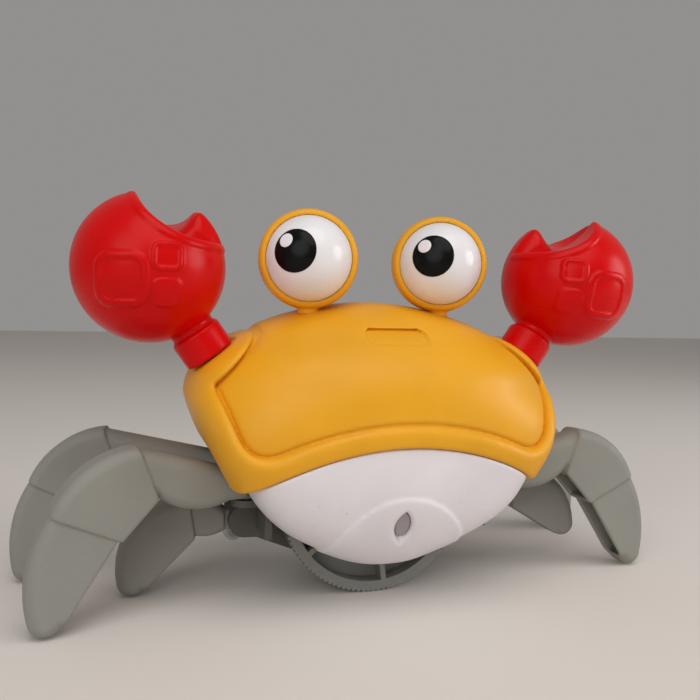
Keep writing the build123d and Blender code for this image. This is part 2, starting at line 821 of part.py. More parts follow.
def leg_bracket():
    """Right-hand carrier: a plate in the bay with ears for the hips, a cheek over the middle hip and the roller's stay."""
    body = box_between((bay_half_width, bracket_front, bracket_low), (bracket_x, bracket_rear, bracket_high))
    for hip_y in (hip_front_y, hip_rear_y):
        for low in (hip_low - side_gap - ear_thickness, hip_high + side_gap):
            ear = rod_z(hip_x, hip_y, ear_radius, low, low + ear_thickness)
            ear += box_between((bracket_x, hip_y - ear_radius, low), (hip_x, hip_y + ear_radius, low + ear_thickness))
            body += ear
    ear_front = middle_y - middle_root_width / 2 - side_gap - ear_thickness
    ear_rear = middle_y + middle_root_width / 2 + side_gap
    for front in (ear_front, ear_rear):
        ear = rod_y(middle_hip_x, middle_hip_z, middle_ear_radius, front, front + ear_thickness)
        low = (bracket_x - bracket_plate, front, middle_hip_z - middle_ear_radius)
        high = (middle_hip_x, front + ear_thickness, middle_hip_z + middle_ear_radius)
        body += ear + box_between(low, high)
    keel = [(keel_inner_x, keel_low), (bracket_x, keel_outer_low), (bracket_x, bracket_low + 2 * bracket_plate),
            (bay_half_width, bracket_low + 2 * bracket_plate), (keel_inner_x, keel_outer_low)]
    body += front_prism(make_face(Polyline(*keel, close=True)), plate_front, plate_rear)
    cheek = [(bracket_x, keel_outer_low), (middle_hip_x, middle_hip_z - cheek_radius),
             (middle_hip_x, middle_hip_z + cheek_radius), (bay_half_width, cheek_high), (bay_half_width, keel_outer_low)]
    body += front_prism(make_face(Polyline(*cheek, close=True)), plate_front, ear_front + ear_thickness)
    body += rod_y(middle_hip_x, middle_hip_z, cheek_radius, plate_front, ear_front + ear_thickness)
    stay_front = roller_y + roller_width / 2 + side_gap
    stay_rear = stay_front + stay_thickness
    stay_top = bracket_low + stay_rise
    body += box_between((bay_half_width, bracket_rear - bracket_plate, bracket_low), (bracket_x, stay_rear, stay_top))
    body += box_between((bay_half_width, stay_front, bracket_low), (roller_x + stay_half_width, stay_rear, stay_top))
    body += rod_y(roller_x, roller_height, stay_half_width, stay_front, stay_rear)
    low = (roller_x - stay_half_width, stay_front, roller_height)
    body += box_between(low, (roller_x + stay_half_width, stay_rear, stay_top))
    body -= rod_z(hip_x, hip_front_y, hip_pin_radius + seat_gap, 0, far)
    body -= rod_z(hip_x, hip_rear_y, hip_pin_radius + seat_gap, hip_low - 2 * ear_thickness, far)
    body -= rod_y(middle_hip_x, middle_hip_z, hip_pin_radius + seat_gap, ear_front, ear_rear + ear_thickness)
    return body - rod_y(roller_x, roller_height, roller_pin_radius + seat_gap, stay_front, stay_rear)


def hip_pins():
    """The right side's three hip pins."""
    low = hip_low - side_gap - ear_thickness
    high = hip_high + side_gap + ear_thickness
    pins = rod_z(hip_x, hip_front_y, hip_pin_radius, low, high)
    pins += rod_z(hip_x, hip_rear_y, hip_pin_radius, low, high)
    half = middle_root_width / 2 + side_gap + ear_thickness
    return pins + rod_y(middle_hip_x, middle_hip_z, hip_pin_radius, middle_y - half, middle_y + half)


def side_roller():
    """A small free roller that keeps the body from tipping."""
    front = roller_y - roller_width / 2
    body = rod_y(roller_x, roller_height, roller_radius, front, front + roller_width)
    body = fillet(body.edges().filter_by(GeomType.CIRCLE), roller_radius / 5)
    return body - rod_y(roller_x, roller_height, roller_pin_radius + running_gap, -far, far)


def roller_pin():
    """The roller's headed axle, held by the stay behind it."""
    head_rear = roller_y - roller_width / 2 - side_gap
    rear = roller_y + roller_width / 2 + side_gap + stay_thickness
    pin = rod_y(roller_x, roller_height, roller_pin_radius, head_rear, rear)
    return pin + rod_y(roller_x, roller_height, roller_head_radius, head_rear - roller_head, head_rear)


# Eyes


def turned(vector, turn, tilt=0.0):
    """A forward direction turned about Z and raised."""
    heading = math.radians(turn)
    rise = math.radians(tilt)
    return Vector(math.sin(heading) * math.cos(rise), -math.cos(heading) * math.cos(rise), math.sin(rise)) * vector


def eye(side, x, turn, gaze):
    """One eye: cup on a neck, eyeball, inset pupil and glint."""
    centre = Vector(x, eye_y, eye_height)
    forward = turned(1.0, turn)
    ball_centre = centre + forward * eyeball_forward
    ball = Pos(*ball_centre) * Sphere(eyeball_radius)
    cup = Pos(*centre) * Sphere(cup_radius)
    cup += rod_z(x, eye_y, neck_radius, neck_foot(), eye_height - cup_radius / 2)
    cup += rod_z(x, eye_y, neck_stem_radius, eye_boss_low - clip_thickness - 2 * side_gap, eye_height - cup_radius / 2)
    cup -= rod(centre + forward * cup_opening, forward, 2 * cup_radius, cup_radius)
    cup -= Pos(*ball_centre) * Sphere(eyeball_radius + seat_gap)
    look = turned(1.0, turn + gaze[0], gaze[1])
    spark = turned(1.0, turn + gaze[0] + glint_offset[0], gaze[1] + glint_offset[1])
    pupil = (rod(ball_centre, look, pupil_radius, far) & ball) - Pos(*ball_centre) * Sphere(eyeball_radius - pupil_depth)
    glint = (rod(ball_centre, spark, glint_radius, far) & ball) - Pos(*ball_centre) * Sphere(eyeball_radius - glint_depth)
    parts["eye_cup_" + side] = cup
    parts["eyeball_" + side] = ball - pupil
    parts["pupil_" + side] = pupil - glint
    parts["glint_" + side] = glint
    clip_high = eye_boss_low - side_gap
    clip = rod_z(x, eye_y, neck_stem_radius + clip_width, clip_high - clip_thickness, clip_high)
    parts["eye_clip_" + side] = clip - rod_z(x, eye_y, neck_stem_radius + seat_gap, 0, far)


def neck_foot():
    """Height just above the dome where the neck's shoulder ends."""
    reach = eye_x - neck_radius
    share = 1 - (reach / dome_half_length) ** 2 - (max(abs(eye_y) - neck_radius, 0) / dome_radius) ** 2
    return dome_height + dome_radius * math.sqrt(share) + side_gap


# Claws


def rounded_patch(x, z, width, height, hollow):
    """A rounded square, or its frame, in the claw's front view."""
    corner = min(width, height) / 3.2
    patch = RectangleRounded(width, height, corner)
    if hollow:
        patch -= RectangleRounded(width - 2 * patch_line, height - 2 * patch_line, corner - patch_line / 2)
    return Pos(x, z) * patch


def claw_ball():
    """A right-hand claw about its own centre: scooped ball, lip, thumb and raised patches."""
    patches = rounded_patch(5.6, -2.8, 14.8, 14.4, True)
    patches += rounded_patch(-6.6, 3.4, 8.2, 8.3, True)
    patches += rounded_patch(-6.6, -6.9, 8.4, 7.7, False)
    relief = front_prism(patches, -far, 0) & Sphere(claw_radius - claw_skin + patch_rise)
    ball = Sphere(claw_radius - claw_skin)
    lip = claw_mouth(lip_width) & Sphere(claw_radius)
    room = Sphere(claw_radius - claw_skin - wall) - claw_mouth(wall)
    room = room.solids().sort_by(SortBy.VOLUME)[-1]
    return ball + lip + relief - claw_mouth() - room


def claw_mouth(grow=0.0):
    """The open mouth: a wide bite out of the front, and behind it a trough beside the thumb."""
    slope = math.radians(trough_slope)
    along = Vector(0, math.cos(slope), math.sin(slope))
    bite = rod_y(-bite_inward, bite_height, bite_radius + grow, -far, bite_back + grow)
    trough = rod(Vector(-trough_inward, 0, trough_height) - along * far / 2, along, trough_radius + grow, far)
    return bite + (trough & box_between((-far, bite_back - grow, -far), (far, far, far)))


def claw(turn, look):
    """A right-hand claw on its collar and stem, swivelled about the arm."""
    centre = wrist + arm * (collar_length + math.sqrt(claw_radius ** 2 - collar_radius ** 2))
    body = Pos(*centre) * (Rot(0, 0, look) * claw_ball())
    body = body.rotate(Axis(wrist, arm), turn)
    body += arm_rod(collar_radius, side_gap / 2, collar_length + claw_radius / 3)
    body += arm_rod(claw_stem_radius, -arm_boss_depth - clip_thickness - 2 * side_gap, collar_length)
    return body - arm_rod(claw_bore_radius, -far / 2, collar_length + claw_radius)


def claw_clip():
    """The ring that holds a claw's stem under the shell."""
    outer = -arm_boss_depth - side_gap
    ring = arm_rod(claw_stem_radius + clip_width, outer - clip_thickness, outer)
    return ring - arm_rod(claw_stem_radius + seat_gap, -far / 2, far / 2)


# Electrics


def battery_cell(grow=0.0):
    """A round cell lying across the front of the belly."""
    start = -battery_length / 2 - grow
    cell = rod((start, battery_y, battery_height), (1, 0, 0), battery_radius + grow, battery_length + 2 * grow)
    return cell + rod((-start, battery_y, battery_height), (1, 0, 0), battery_button_radius + grow, battery_button)


def control_board():
    """The circuit board with its chip and capacitor."""
    low = (-board_width / 2, board_y, board_low)
    board = box_between(low, (board_width / 2, board_y + board_thickness, board_low + board_height))
    chip = Pos(0, board_y + board_thickness + 0.7, board_low + 0.7 * board_height) * Box(8, 1.4, 6)
    can_front = board_y + board_thickness
    can = rod_y(board_width / 3, board_low + 0.8 * board_height, 2.5, can_front, can_front + 5)
    return board + chip + can


def speaker():
    """A small speaker on the front of the board."""
    rear = board_y
    body = rod_y(0, speaker_height, speaker_radius, rear - speaker_depth / 2, rear)
    body += rod_y(0, speaker_height, 0.8 * speaker_radius, rear - speaker_depth, rear)
    cone = rod_y(0, speaker_height, 0.7 * speaker_radius, rear - speaker_depth, rear - 0.8 * speaker_depth)
    return body - cone


def ir_sensor():
    """The infrared eye behind the almond window."""
    front = -belly_front(window_height) + wall / 2 + sensor_back
    body = rod_y(0, window_height, sensor_radius, front + sensor_radius, front + sensor_length)
    return body + (Pos(0, front + sensor_radius, window_height) * Sphere(sensor_radius))


def usb_socket():
    """The charging socket between the board and the belly's back wall."""
    front = board_y + board_thickness
    rear = belly_front(socket_level) - wall / 2
    shape = RectangleRounded(socket_width - 2 * seam_gap, socket_height - 2 * seam_gap, socket_height / 4)
    body = front_prism(Pos(0, socket_level) * shape, front, rear)
    mouth = offset(shape, amount=-0.4)
    return body - front_prism(Pos(0, socket_level) * mouth, rear - 4, far)


def switch_slot():
    """The slot in the back wall that the switch knob slides in."""
    width = switch_knob_width + switch_travel + 2 * side_gap
    low = (switch_x - width / 2, board_y + board_rail_depth / 2, switch_level - switch_knob_height / 2 - side_gap)
    return box_between(low, (switch_x + width / 2, far, switch_level + switch_knob_height / 2 + side_gap))


def switch_front():
    """Where the back wall's inner face is, beside the switch."""
    return belly_front(switch_level - switch_height / 2, switch_x + switch_width / 2, wall) - side_gap


def switch_housing():
    """The fixed box of the slide switch, standing on the board."""
    low = (switch_x - switch_width / 2, board_y + board_thickness, switch_level - switch_height / 2)
    body = box_between(low, (switch_x + switch_width / 2, switch_front() - side_gap, switch_level + switch_height / 2))
    width = switch_knob_width + switch_travel + 2 * side_gap
    groove_low = (switch_x - width / 2, switch_front() - 2, switch_level - switch_knob_height / 2 - side_gap)
    groove_high = (switch_x + width / 2, far, switch_level + switch_knob_height / 2 + side_gap)
    return body - box_between(groove_low, groove_high)


def power_switch():
    """The knob, at its off end."""
    left = switch_x - switch_travel / 2 - switch_knob_width / 2
    low = (left, switch_front() - 2 + running_gap, switch_level - switch_knob_height / 2)
    rear = belly_front(switch_level, switch_x) + switch_proud
    body = box_between(low, (left + switch_knob_width, rear, switch_level + switch_knob_height / 2))
    return chamfer(body.faces().sort_by(Axis.Y)[-1].edges(), switch_knob_height / 8)


def build():
    """Make every piece."""
    parts["top_shell"] = top_shell()
    parts["belly_shell"] = belly_shell()
    parts["body_screws"] = body_screws()
    parts["front_wheel"] = wheel(wheel_front, -1, plate_clear - side_gap)
    parts["rear_wheel"] = wheel(rear_wheel_front, 1, plate_clear - side_gap)
    parts["drive_axle"] = drive_axle()
    parts["axle_bushes"] = axle_bushes()
    parts["axle_gear"] = axle_gear()
    parts["idler_gear"] = idler_gear()
    parts["idler_pin"] = rod_y(0, idler_height, idler_pin_radius, plate_front, plate_rear)
    parts["motor_pinion"] = motor_pinion()
    parts["motor"] = motor()
    parts["gearbox_frame"] = gearbox_frame()
    legs()
    for name, piece in (("leg_bracket", leg_bracket()), ("hip_pins", hip_pins()), ("side_roller", side_roller()),
                        ("roller_pin", roller_pin()), ("claw_clip", claw_clip())):
        parts[name + "_right"] = piece
        parts[name + "_left"] = mirrored(piece)
    eye("left", -eye_x, left_eye_turn, left_gaze)
    eye("right", eye_x, right_eye_turn, right_gaze)
    parts["claw_right"] = claw(right_claw_turn, -claw_look)
    parts["claw_left"] = mirrored(claw(left_claw_turn, claw_look))
    parts["battery"] = battery_cell()
    parts["control_board"] = control_board()
    parts["speaker"] = speaker()
    parts["ir_sensor"] = ir_sensor()
    parts["usb_socket"] = usb_socket()
    parts["switch_housing"] = switch_housing()
    parts["power_switch"] = power_switch()


def save():
    """Write one file for each piece."""
    os.makedirs("parts", exist_ok=True)
    for name, piece in parts.items():
        export_step(piece, "parts/" + name + ".step")


if __name__ == "__main__":
    build()
    save()
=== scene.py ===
"""Looks of the crawling crab toy: smooth moulded skins over the CAD frame, plastics, light and camera.

Skins are drawn as distance fields in millimetres, in the CAD's frame, and turned into meshes in metres.
Most sizes are the CAD's own. The shells' corners, the claws' mouths and the bib follow the photograph closer.
"""
import copy
import json
import math

import bpy
import numpy as np
import openvdb
from mathutils import Matrix, Vector

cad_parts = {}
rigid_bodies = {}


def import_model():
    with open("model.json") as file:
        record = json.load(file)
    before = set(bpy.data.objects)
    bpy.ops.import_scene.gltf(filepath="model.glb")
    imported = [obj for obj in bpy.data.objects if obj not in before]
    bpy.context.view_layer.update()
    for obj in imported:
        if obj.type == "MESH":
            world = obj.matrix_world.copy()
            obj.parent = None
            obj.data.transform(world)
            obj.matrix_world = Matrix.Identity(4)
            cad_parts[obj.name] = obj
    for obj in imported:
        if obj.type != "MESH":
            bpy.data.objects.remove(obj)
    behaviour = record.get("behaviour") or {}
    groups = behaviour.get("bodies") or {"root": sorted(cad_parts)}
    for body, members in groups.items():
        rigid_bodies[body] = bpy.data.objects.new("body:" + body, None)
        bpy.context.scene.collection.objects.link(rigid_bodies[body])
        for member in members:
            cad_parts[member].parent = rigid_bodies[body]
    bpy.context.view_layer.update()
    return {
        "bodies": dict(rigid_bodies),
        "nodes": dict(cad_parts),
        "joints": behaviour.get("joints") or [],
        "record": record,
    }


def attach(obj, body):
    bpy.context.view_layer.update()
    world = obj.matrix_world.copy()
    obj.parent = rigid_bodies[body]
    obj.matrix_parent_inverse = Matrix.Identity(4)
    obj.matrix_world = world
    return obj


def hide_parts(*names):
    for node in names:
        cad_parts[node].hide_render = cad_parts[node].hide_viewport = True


MM = 0.001
SIDES = {"left": -1, "right": 1}

# Sampling: distances between points, blocks with a low and a high corner, and margins around pieces
TOP_GRID, BELLY_GRID, SENSOR_GRID, SCREW_GRID = 0.45, 0.5, 0.25, 0.4
CLAW_GRID, EYE_GRID, LEG_GRID = 0.4, 0.35, 0.45
TOP_BLOCK = ((-59, -46, 34), (59, 46, 91))
BELLY_BLOCK = ((-48, -43, 10), (48, 43, 51))
# The sensor's heights count from the middle of its window
SENSOR_BLOCK = ((-4, -42, -5), (4, -26, 5))
SCREW_MARGIN, SCREW_TOP_MARGIN, SEAT_MARGIN, CLAW_MARGIN = 4.0, 2.0, 10.0, 2.0
CUP_MARGIN, NECK_MARGIN, BALL_MARGIN = 2.0, 4.0, 1.1
LEG_MARGIN, LEG_SIDE_MARGIN, LEG_FLOOR, LEG_TOP = 8.0, 9.0, -2.0, 52.0
MIDDLE_BLOCK_IN, MIDDLE_BLOCK_OUT, MIDDLE_BLOCK_SIDE, MIDDLE_BLOCK_TOP = 6.0, 42.0, 7.0, 40.0
FIELD_REACH = 3.0
TINY = 1e-6
FAR = 90.0
BELOW = -50.0

# Shell sizes
WALL = 2.0
SEAM_GAP = 0.1
DOME = (60.0, 41.3, 41.3)
DOME_HEIGHT = 48.0
RIM_HALF_WIDTH, RIM_HALF_DEPTH = 56.5, 43.0
RIM_HEIGHT, RIM_RISE, RIM_DROP = 61.0, 25.0, 46.0
RIM_BAND, RIM_ROUND = 6.3, 3.6
PLAN_POWER, SIDE_POWER = 2.6, 2.2
FLANK_DROP, FLANK_POWER, FLANK_LIMIT = 85.0, 1.2, 0.9
SQUARE_POWER, SQUARE_START, SQUARE_SPAN = 6.0, 66.0, 24.0
PARTING_CREST, PARTING_RADIUS, PARTING_EDGE = 49.5, 79.5, 1.2
PANEL_CORNER, PANEL_SIDE, PANEL_TOP, PANEL_CROWN = 41.5, (49.8, 64.7), (36.2, 79.8), 110.0
PANEL_ROUND, PANEL_FILLET, PANEL_TOP_INSET, PANEL_STEPS = 1.5, 7.0, 0.7, 8
PANEL_SINK, PANEL_BLEND, PANEL_EDGE = 2.2, 6.0, 1.4
CREASE, CREASE_REACH = 0.4, 1.5
LEG_WINDOW = ((36.0, 80.0), (-18.5, 27.5), (0.0, 45.5))
LEG_WINDOW_ROUND, LEG_WINDOW_EDGE = 6.0, 1.0
SLOT_LENGTH, SLOT_WIDTH, SLOT_ROUND, SLOT_HEIGHT = 18.2, 4.4, 2.0, 79.2
SLOT_DEPTH, SLOT_MIDDLE, SLOT_LEAST, SLOT_EDGE = 1.1, 0.6, 0.3, 0.4

# Belly sizes
BELLY_RADIUS, BELLY_CENTRE, BELLY_KEEL = 46.8, 58.2, 0.5
BELLY_HALF_DEPTH, BELLY_TOP, BELLY_DROP, BELLY_POWER, BELLY_LIMIT = 41.0, 50.0, 42.0, 2.5, 0.97
BELLY_BOTTOM, BELLY_BOTTOM_EDGE, BELLY_EDGE = 12.0, 3.0, 0.6
BELLY_ROUND_TO, BELLY_SQUARE_SPAN = 14.0, 20.0
BIB_RADIUS, BIB_RISE, BIB_STRETCH, BIB_BACK, BIB_EDGE, BIB_FOOT = 21.3, 0.6, 1.11, -20.0, 0.8, 0.5
WINDOW_WIDTH, WINDOW_LENGTH, WINDOW_HEIGHT, WINDOW_BACK = 4.6, 9.0, 27.2, -34.0
WINDOW_EDGE, WINDOW_BEVEL, BEVEL_EDGE = 0.8, 1.3, 0.6
BAY_HALF_WIDTH, BAY_FRONT, BAY_REAR = 33.0, -18.5, 24.0
WHEEL_SLOT = ((-30.5, 30.5), (-13.5, 19.5), (0.0, 28.0))
SOCKET_HOLE = ((-3.8, 3.8), (20, 90), (29.6, 32.4))
SWITCH_SLOT = ((8.4, 16.6), (20, 90), (29.3, 32.7))

# Sensor and screws
SENSOR_BACK, SENSOR_LENGTH, SENSOR_RADIUS, SENSOR_FRONT = 1.0, 8.0, 2.5, -36.0
LENS_EDGE, TUBE_SINK = 0.3, 1.0
POST_X, POST_Y = 22.0, 29.0
SCREW_RADIUS, SCREW_HEAD, SCREW_LEVEL, SCREW_TOP = 1.2, 2.5, 27.0, 53.0
SCREW_HEAD_HEIGHT, SCREW_EDGE, FRONT_HEAD_RISE = 2.0, 0.8, 4.0
CROSS_HALF_WIDTH, CROSS_REACH, CROSS_DEPTH = 0.3, 1.5, 0.8

# Arms and claws
WRIST = np.array((50.3, -8.4, 73.2))
ARM_LEAN = math.radians(35.0)
ARM = np.array((math.sin(ARM_LEAN), 0.0, math.cos(ARM_LEAN)))
SEAT_SINK, SEAT_CLEARANCE, SEAT_EDGE = 0.8, 1.0, 1.0
COLLAR_RADIUS, COLLAR_LENGTH = 7.5, 9.6
COLLAR_START, COLLAR_EDGE, COLLAR_RELIEF, COLLAR_SHOULDER = 0.125, 0.8, 0.9, 1.6
WRIST_THINNING, WRIST_START, WRIST_DEPTH, WRIST_BLEND = 1.0, 2.0, 6.0, 0.5
CLAW_RADIUS, CLAW_BALL, CLAW_SKIN, CLAW_LOOK = 22.1, 21.2, 0.5, 8.0
CLAW_ROLL = {"left": 0.0, "right": 6.0}
BITE_RADIUS, BITE_INWARD, BITE_HEIGHT, BITE_BACK, BITE_EDGE = 23.4, 18.0, 30.2, -6.0, 1.0
TROUGH_RADIUS, TROUGH_INWARD, TROUGH_HEIGHT, TROUGH_SLOPE, TROUGH_EDGE = 8.5, 3.2, 18.6, 18.0, 1.5
THUMB_ROUND, THUMB_EDGE = 7.0, 4.0
LIP_WIDTH, LIP_BACK, LIP_EDGE, LIP_FOOT = 2.3, -1.0, 0.6, 0.4
PATCH_RISE, PATCH_EDGE, PATCH_FOOT, PATCH_CORNERS = 0.5, 0.5, 0.4, 3.2
# Raised squares: place across, height, width, height of the square, width of its ring
PATCHES = ((5.0, -4.2, 14.2, 14.4, 1.9), (-6.6, 1.9, 7.8, 7.7, 1.2), (-6.6, -7.5, 7.6, 7.5, 0.0))

# Eyes
EYE_X, EYE_Y, EYE_HEIGHT = 21.2, -8.0, 101.6
EYE_TURN = {"left": -10.7, "right": -15.8}
CUP_RADIUS, CUP_OPENING, CUP_EDGE = 15.0, 5.0, 1.2
NECK_RADIUS, NECK_FOOT, NECK_TOP, NECK_BLEND = 3.0, 85.2, 8.0, 0.7
BALL_RADIUS, BALL_FORWARD, BALL_GAP, BALL_EDGE = 12.9, 2.2, 0.04, 0.2
PUPIL_RADIUS, PUPIL_PROUD, PUPIL_DEPTH, PUPIL_SEAT = 6.3, 0.25, 0.5, 0.3
GLINT_RADIUS, GLINT_PROUD, GLINT_DEPTH = 2.1, 0.4, 0.4
GAZE = {"left": (-23.0, 7.2), "right": (-18.2, 8.4)}
GLINT_OFFSET = (-12.0, 12.0)
CAP_RINGS, CAP_SPOKES, CAP_DROP, CAP_SOFT_FROM, CAP_SOFT_SPAN = 16, 96, 0.12, 0.85, 0.15

# Legs, in their own planes: reach from the hip, height above the floor
HIP_X, HIP_FRONT_Y, HIP_REAR_Y = 39.3, -10.0, 14.0
HIP_LOW, HIP_HIGH, HIP_BOSS = 31.2, 40.8, 3.6
FRONT_KNEE, REAR_KNEE = 33.0, 41.0
FRONT_ANGLE, REAR_ANGLE, SWING = -4.5, 16.2, 7.4
KNEE_HEIGHT, KNEE_LEAN, KNEE_DEPTH = 48.0, 5.4, 13.2
THIGH_ROOT, THIGH_SAG, SAG_PLACE = 6.0, 29.6, 0.55
SHIN_OUTER, SHIN_INNER, BULGE_REACH, BULGE_FALL = (22.0, 32.0), (3.7, 23.6), 0.6, 0.28
TIP_REACH, TOE_RADIUS, TOE_LEAN, TOE_STEPS, FLOOR_GAP = 22.6, 4.4, 12.0, 12, 0.4
THIGH_HALF, SHIN_HALF, TIP_HALF = 5.0, 5.6, 4.9
LEG_ROUND, LEG_WALL, LEG_STEP, LEG_EDGE, SPILL = 3.4, 1.5, 0.7, 0.5, 10.0
MIDDLE_HIP = (38.5, 3.0, 22.0)
MIDDLE_KNEE, MIDDLE_TIP, MIDDLE_HALF, MIDDLE_ROUND, MIDDLE_LIFT = 16.5, 33.0, 4.0, 2.4, 13.9
MIDDLE_ROOT, MIDDLE_EYE, MIDDLE_EYE_HALF = (5.3, 3.3), (-2.0, 3.0), 3.25
MIDDLE_EYE_REACH, MIDDLE_EYE_STEP = 1.5, 0.6
MIDDLE_BOW, MIDDLE_CREST, MIDDLE_HOLLOW = 0.62, 6.2, -5.0
MIDDLE_END_TOP, MIDDLE_END_LOW = (1.0, 7.4), (-1.0, -4.4)
BLADE_TOP, BLADE_INNER = 8.0, (-2.0, -5.0)

# Plastics: colour, roughness, grain, dirt, specular level
PLASTICS = {
    "yellow": ((0.80, 0.37, 0.012), 0.42, 0.10, 0.35, 0.30),
    "white": ((0.74, 0.70, 0.72), 0.42, 0.10, 0.45),
    "red": ((0.62, 0.0005, 0.001), 0.29, 0.05, 0.0, 0.15),
    "leg_grey": ((0.26, 0.255, 0.225), 0.58, 0.30, 0.15),
    "dark_grey": ((0.08, 0.078, 0.07), 0.6, 0.30),
    "wheel_grey": ((0.21, 0.21, 0.19), 0.55, 0.30, 0.15),
    # painted shade: a darker copy of leg_grey for the leg brackets, which sit in the shadow under the body
    "painted_shade_grey": ((0.09, 0.086, 0.072), 0.6, 0.30, 0.15),
    "eye_white": ((0.80, 0.77, 0.78), 0.17, 0.02),
    "black": ((0.004, 0.004, 0.004), 0.22, 0.02, 0.0, 0.12),
    "sensor_grey": ((0.36, 0.32, 0.33), 0.45, 0.05),
    "steel": ((0.5, 0.5, 0.5), 0.3),
    "gear_white": ((0.7, 0.7, 0.66), 0.5),
    "brass": ((0.6, 0.42, 0.15), 0.35),
    "cell_blue": ((0.03, 0.08, 0.3), 0.3),
    "board_green": ((0.01, 0.12, 0.04), 0.4),
}
# Noises: scale per metre, detail
CLOUDS, SPECKS, SMEARS, GRAIN = (38.0, 3.0), (700.0, 2.0), (110.0, 4.0), (2200.0, 2.0)
NOISE_LOW, NOISE_HIGH, SPECK_FROM, SPECK_FULL = 0.3, 0.7, 0.72, 0.80
DARKER, LIGHTER, DIRT_SHARE, DIRT_FLOOR = 0.93, 1.05, 0.4, 0.01
GLOSSIER, DULLER, GRAIN_HEIGHT = 0.05, 0.06, 0.0002
SHARP_ANGLE = math.radians(30)

# Camera of the photograph, in millimetres and degrees
CAMERA_PLACE = (-75.7, -227.9, 85.0)
CAMERA_YAW, CAMERA_PITCH, CAMERA_ROLL = 17.21, 2.62, 1.11
CAMERA_LENS, CAMERA_SENSOR = 38.65, 36.0

# Floor and light, in metres and watts. Lamps: place, size, power
FLOOR_SIZE, FLOOR_COLOUR, FLOOR_ROUGHNESS = 6.0, (0.74, 0.69, 0.64, 1.0), 0.8
LAMP_TARGET = (0, 0, 0.06)
LAMPS = {
    "window": ((0.85, -0.35, 0.30), 0.5, 2.9),
    "overhead": ((0.0, -0.55, 0.95), 1.0, 5.0),
    "fill": ((-0.7, -0.9, 0.55), 0.9, 4.2),
}
SURROUND_COLOUR, SURROUND_STRENGTH = (0.80, 0.78, 0.76, 1), 0.36


# Distance fields


class Grid:
    """A block of sample points in millimetres."""

    def __init__(self, low, high, step):
        self.step = step
        self.low = np.array(low, float)
        counts = [int(math.ceil((b - a) / step)) + 1 for a, b in zip(low, high)]
        axes = [a + step * np.arange(n) for a, n in zip(low, counts)]
        self.x = axes[0][:, None, None]
        self.y = axes[1][None, :, None]
        self.z = axes[2][None, None, :]

    def spread(self, field):
        """A field as a full block."""
        return np.broadcast_to(field, np.broadcast_shapes(self.x.shape, self.y.shape, self.z.shape))

    def folded(self):
        """The same points with both sides laid on the right."""
        twin = copy.copy(self)
        twin.x = np.abs(self.x)
        return twin

    def even(self, field):
        """A field rescaled so that it grows by one a millimetre."""
        slopes = np.gradient(self.spread(field), self.step)
        return field / np.maximum(np.sqrt(sum(s * s for s in slopes)), TINY)


def smooth_min(a, b, k):
    """Union with a fillet of about k."""
    h = np.maximum(k - np.abs(a - b), 0.0) / k
    return np.minimum(a, b) - h * h * k / 4


def smooth_max(a, b, k):
    """Overlap with a rounded edge of about k."""
    return -smooth_min(-a, -b, k)


def box_field(grid, spans, radius=0.0):
    """A box between three spans, with rounded edges."""
    gaps = []
    for values, (low, high) in zip((grid.x, grid.y, grid.z), spans):
        gaps.append(np.abs(values - (low + high) / 2) - (high - low) / 2 + radius)
    outside = np.sqrt(sum(np.maximum(g, 0) ** 2 for g in gaps))
    inside = np.minimum(np.maximum(np.maximum(gaps[0], gaps[1]), gaps[2]), 0)
    return outside + inside - radius


def rounded_field(u, v, width, height, corner):
    """A rectangle with round corners, about the origin of a plane."""
    gu = np.abs(u) - width / 2 + corner
    gv = np.abs(v) - height / 2 + corner
    outside = np.sqrt(np.maximum(gu, 0) ** 2 + np.maximum(gv, 0) ** 2)
    return outside + np.minimum(np.maximum(gu, gv), 0) - corner


def polygon_field(u, v, points):
    """Distance to a closed outline in a plane, negative inside."""
    u, v = np.broadcast_arrays(u, v)
    best = np.full(u.shape, np.inf)
    inside = np.zeros(u.shape, bool)
    for (ax, ay), (bx, by) in zip(points, points[1:] + points[:1]):
        ex, ey = bx - ax, by - ay
        px, py = u - ax, v - ay
        share = np.clip((px * ex + py * ey) / max(ex * ex + ey * ey, TINY), 0, 1)
        best = np.minimum(best, (px - share * ex) ** 2 + (py - share * ey) ** 2)
        if ay != by:
            crossing = ((ay > v) != (by > v)) & (px < ex * py / ey)
            inside ^= crossing
    return np.where(inside, -1, 1) * np.sqrt(best)


def slab_field(flat, across, half, radius):
    """An outline with thickness and rounded edges."""
    a = flat + radius
    b = np.abs(across) - half + radius
    return np.minimum(np.maximum(a, b), 0) + np.sqrt(np.maximum(a, 0) ** 2 + np.maximum(b, 0) ** 2) - radius


def rod_field(grid, point, direction):
    """Distance from an axis, and place along it."""
    px, py, pz = grid.x - point[0], grid.y - point[1], grid.z - point[2]
    along = px * direction[0] + py * direction[1] + pz * direction[2]
    away = np.sqrt(np.maximum(px * px + py * py + pz * pz - along * along, 0))
    return away, along


def ball_field(grid, centre, radius):
    """A ball."""
    return np.sqrt((grid.x - centre[0]) ** 2 + (grid.y - centre[1]) ** 2 + (grid.z - centre[2]) ** 2) - radius


def moved(point, start, end, amount):
    """A point of a plane moved along the direction from start to end."""
    length = math.hypot(end[0] - start[0], end[1] - start[1])
    return tuple(p + (b - a) / length * amount for p, a, b in zip(point, start, end))


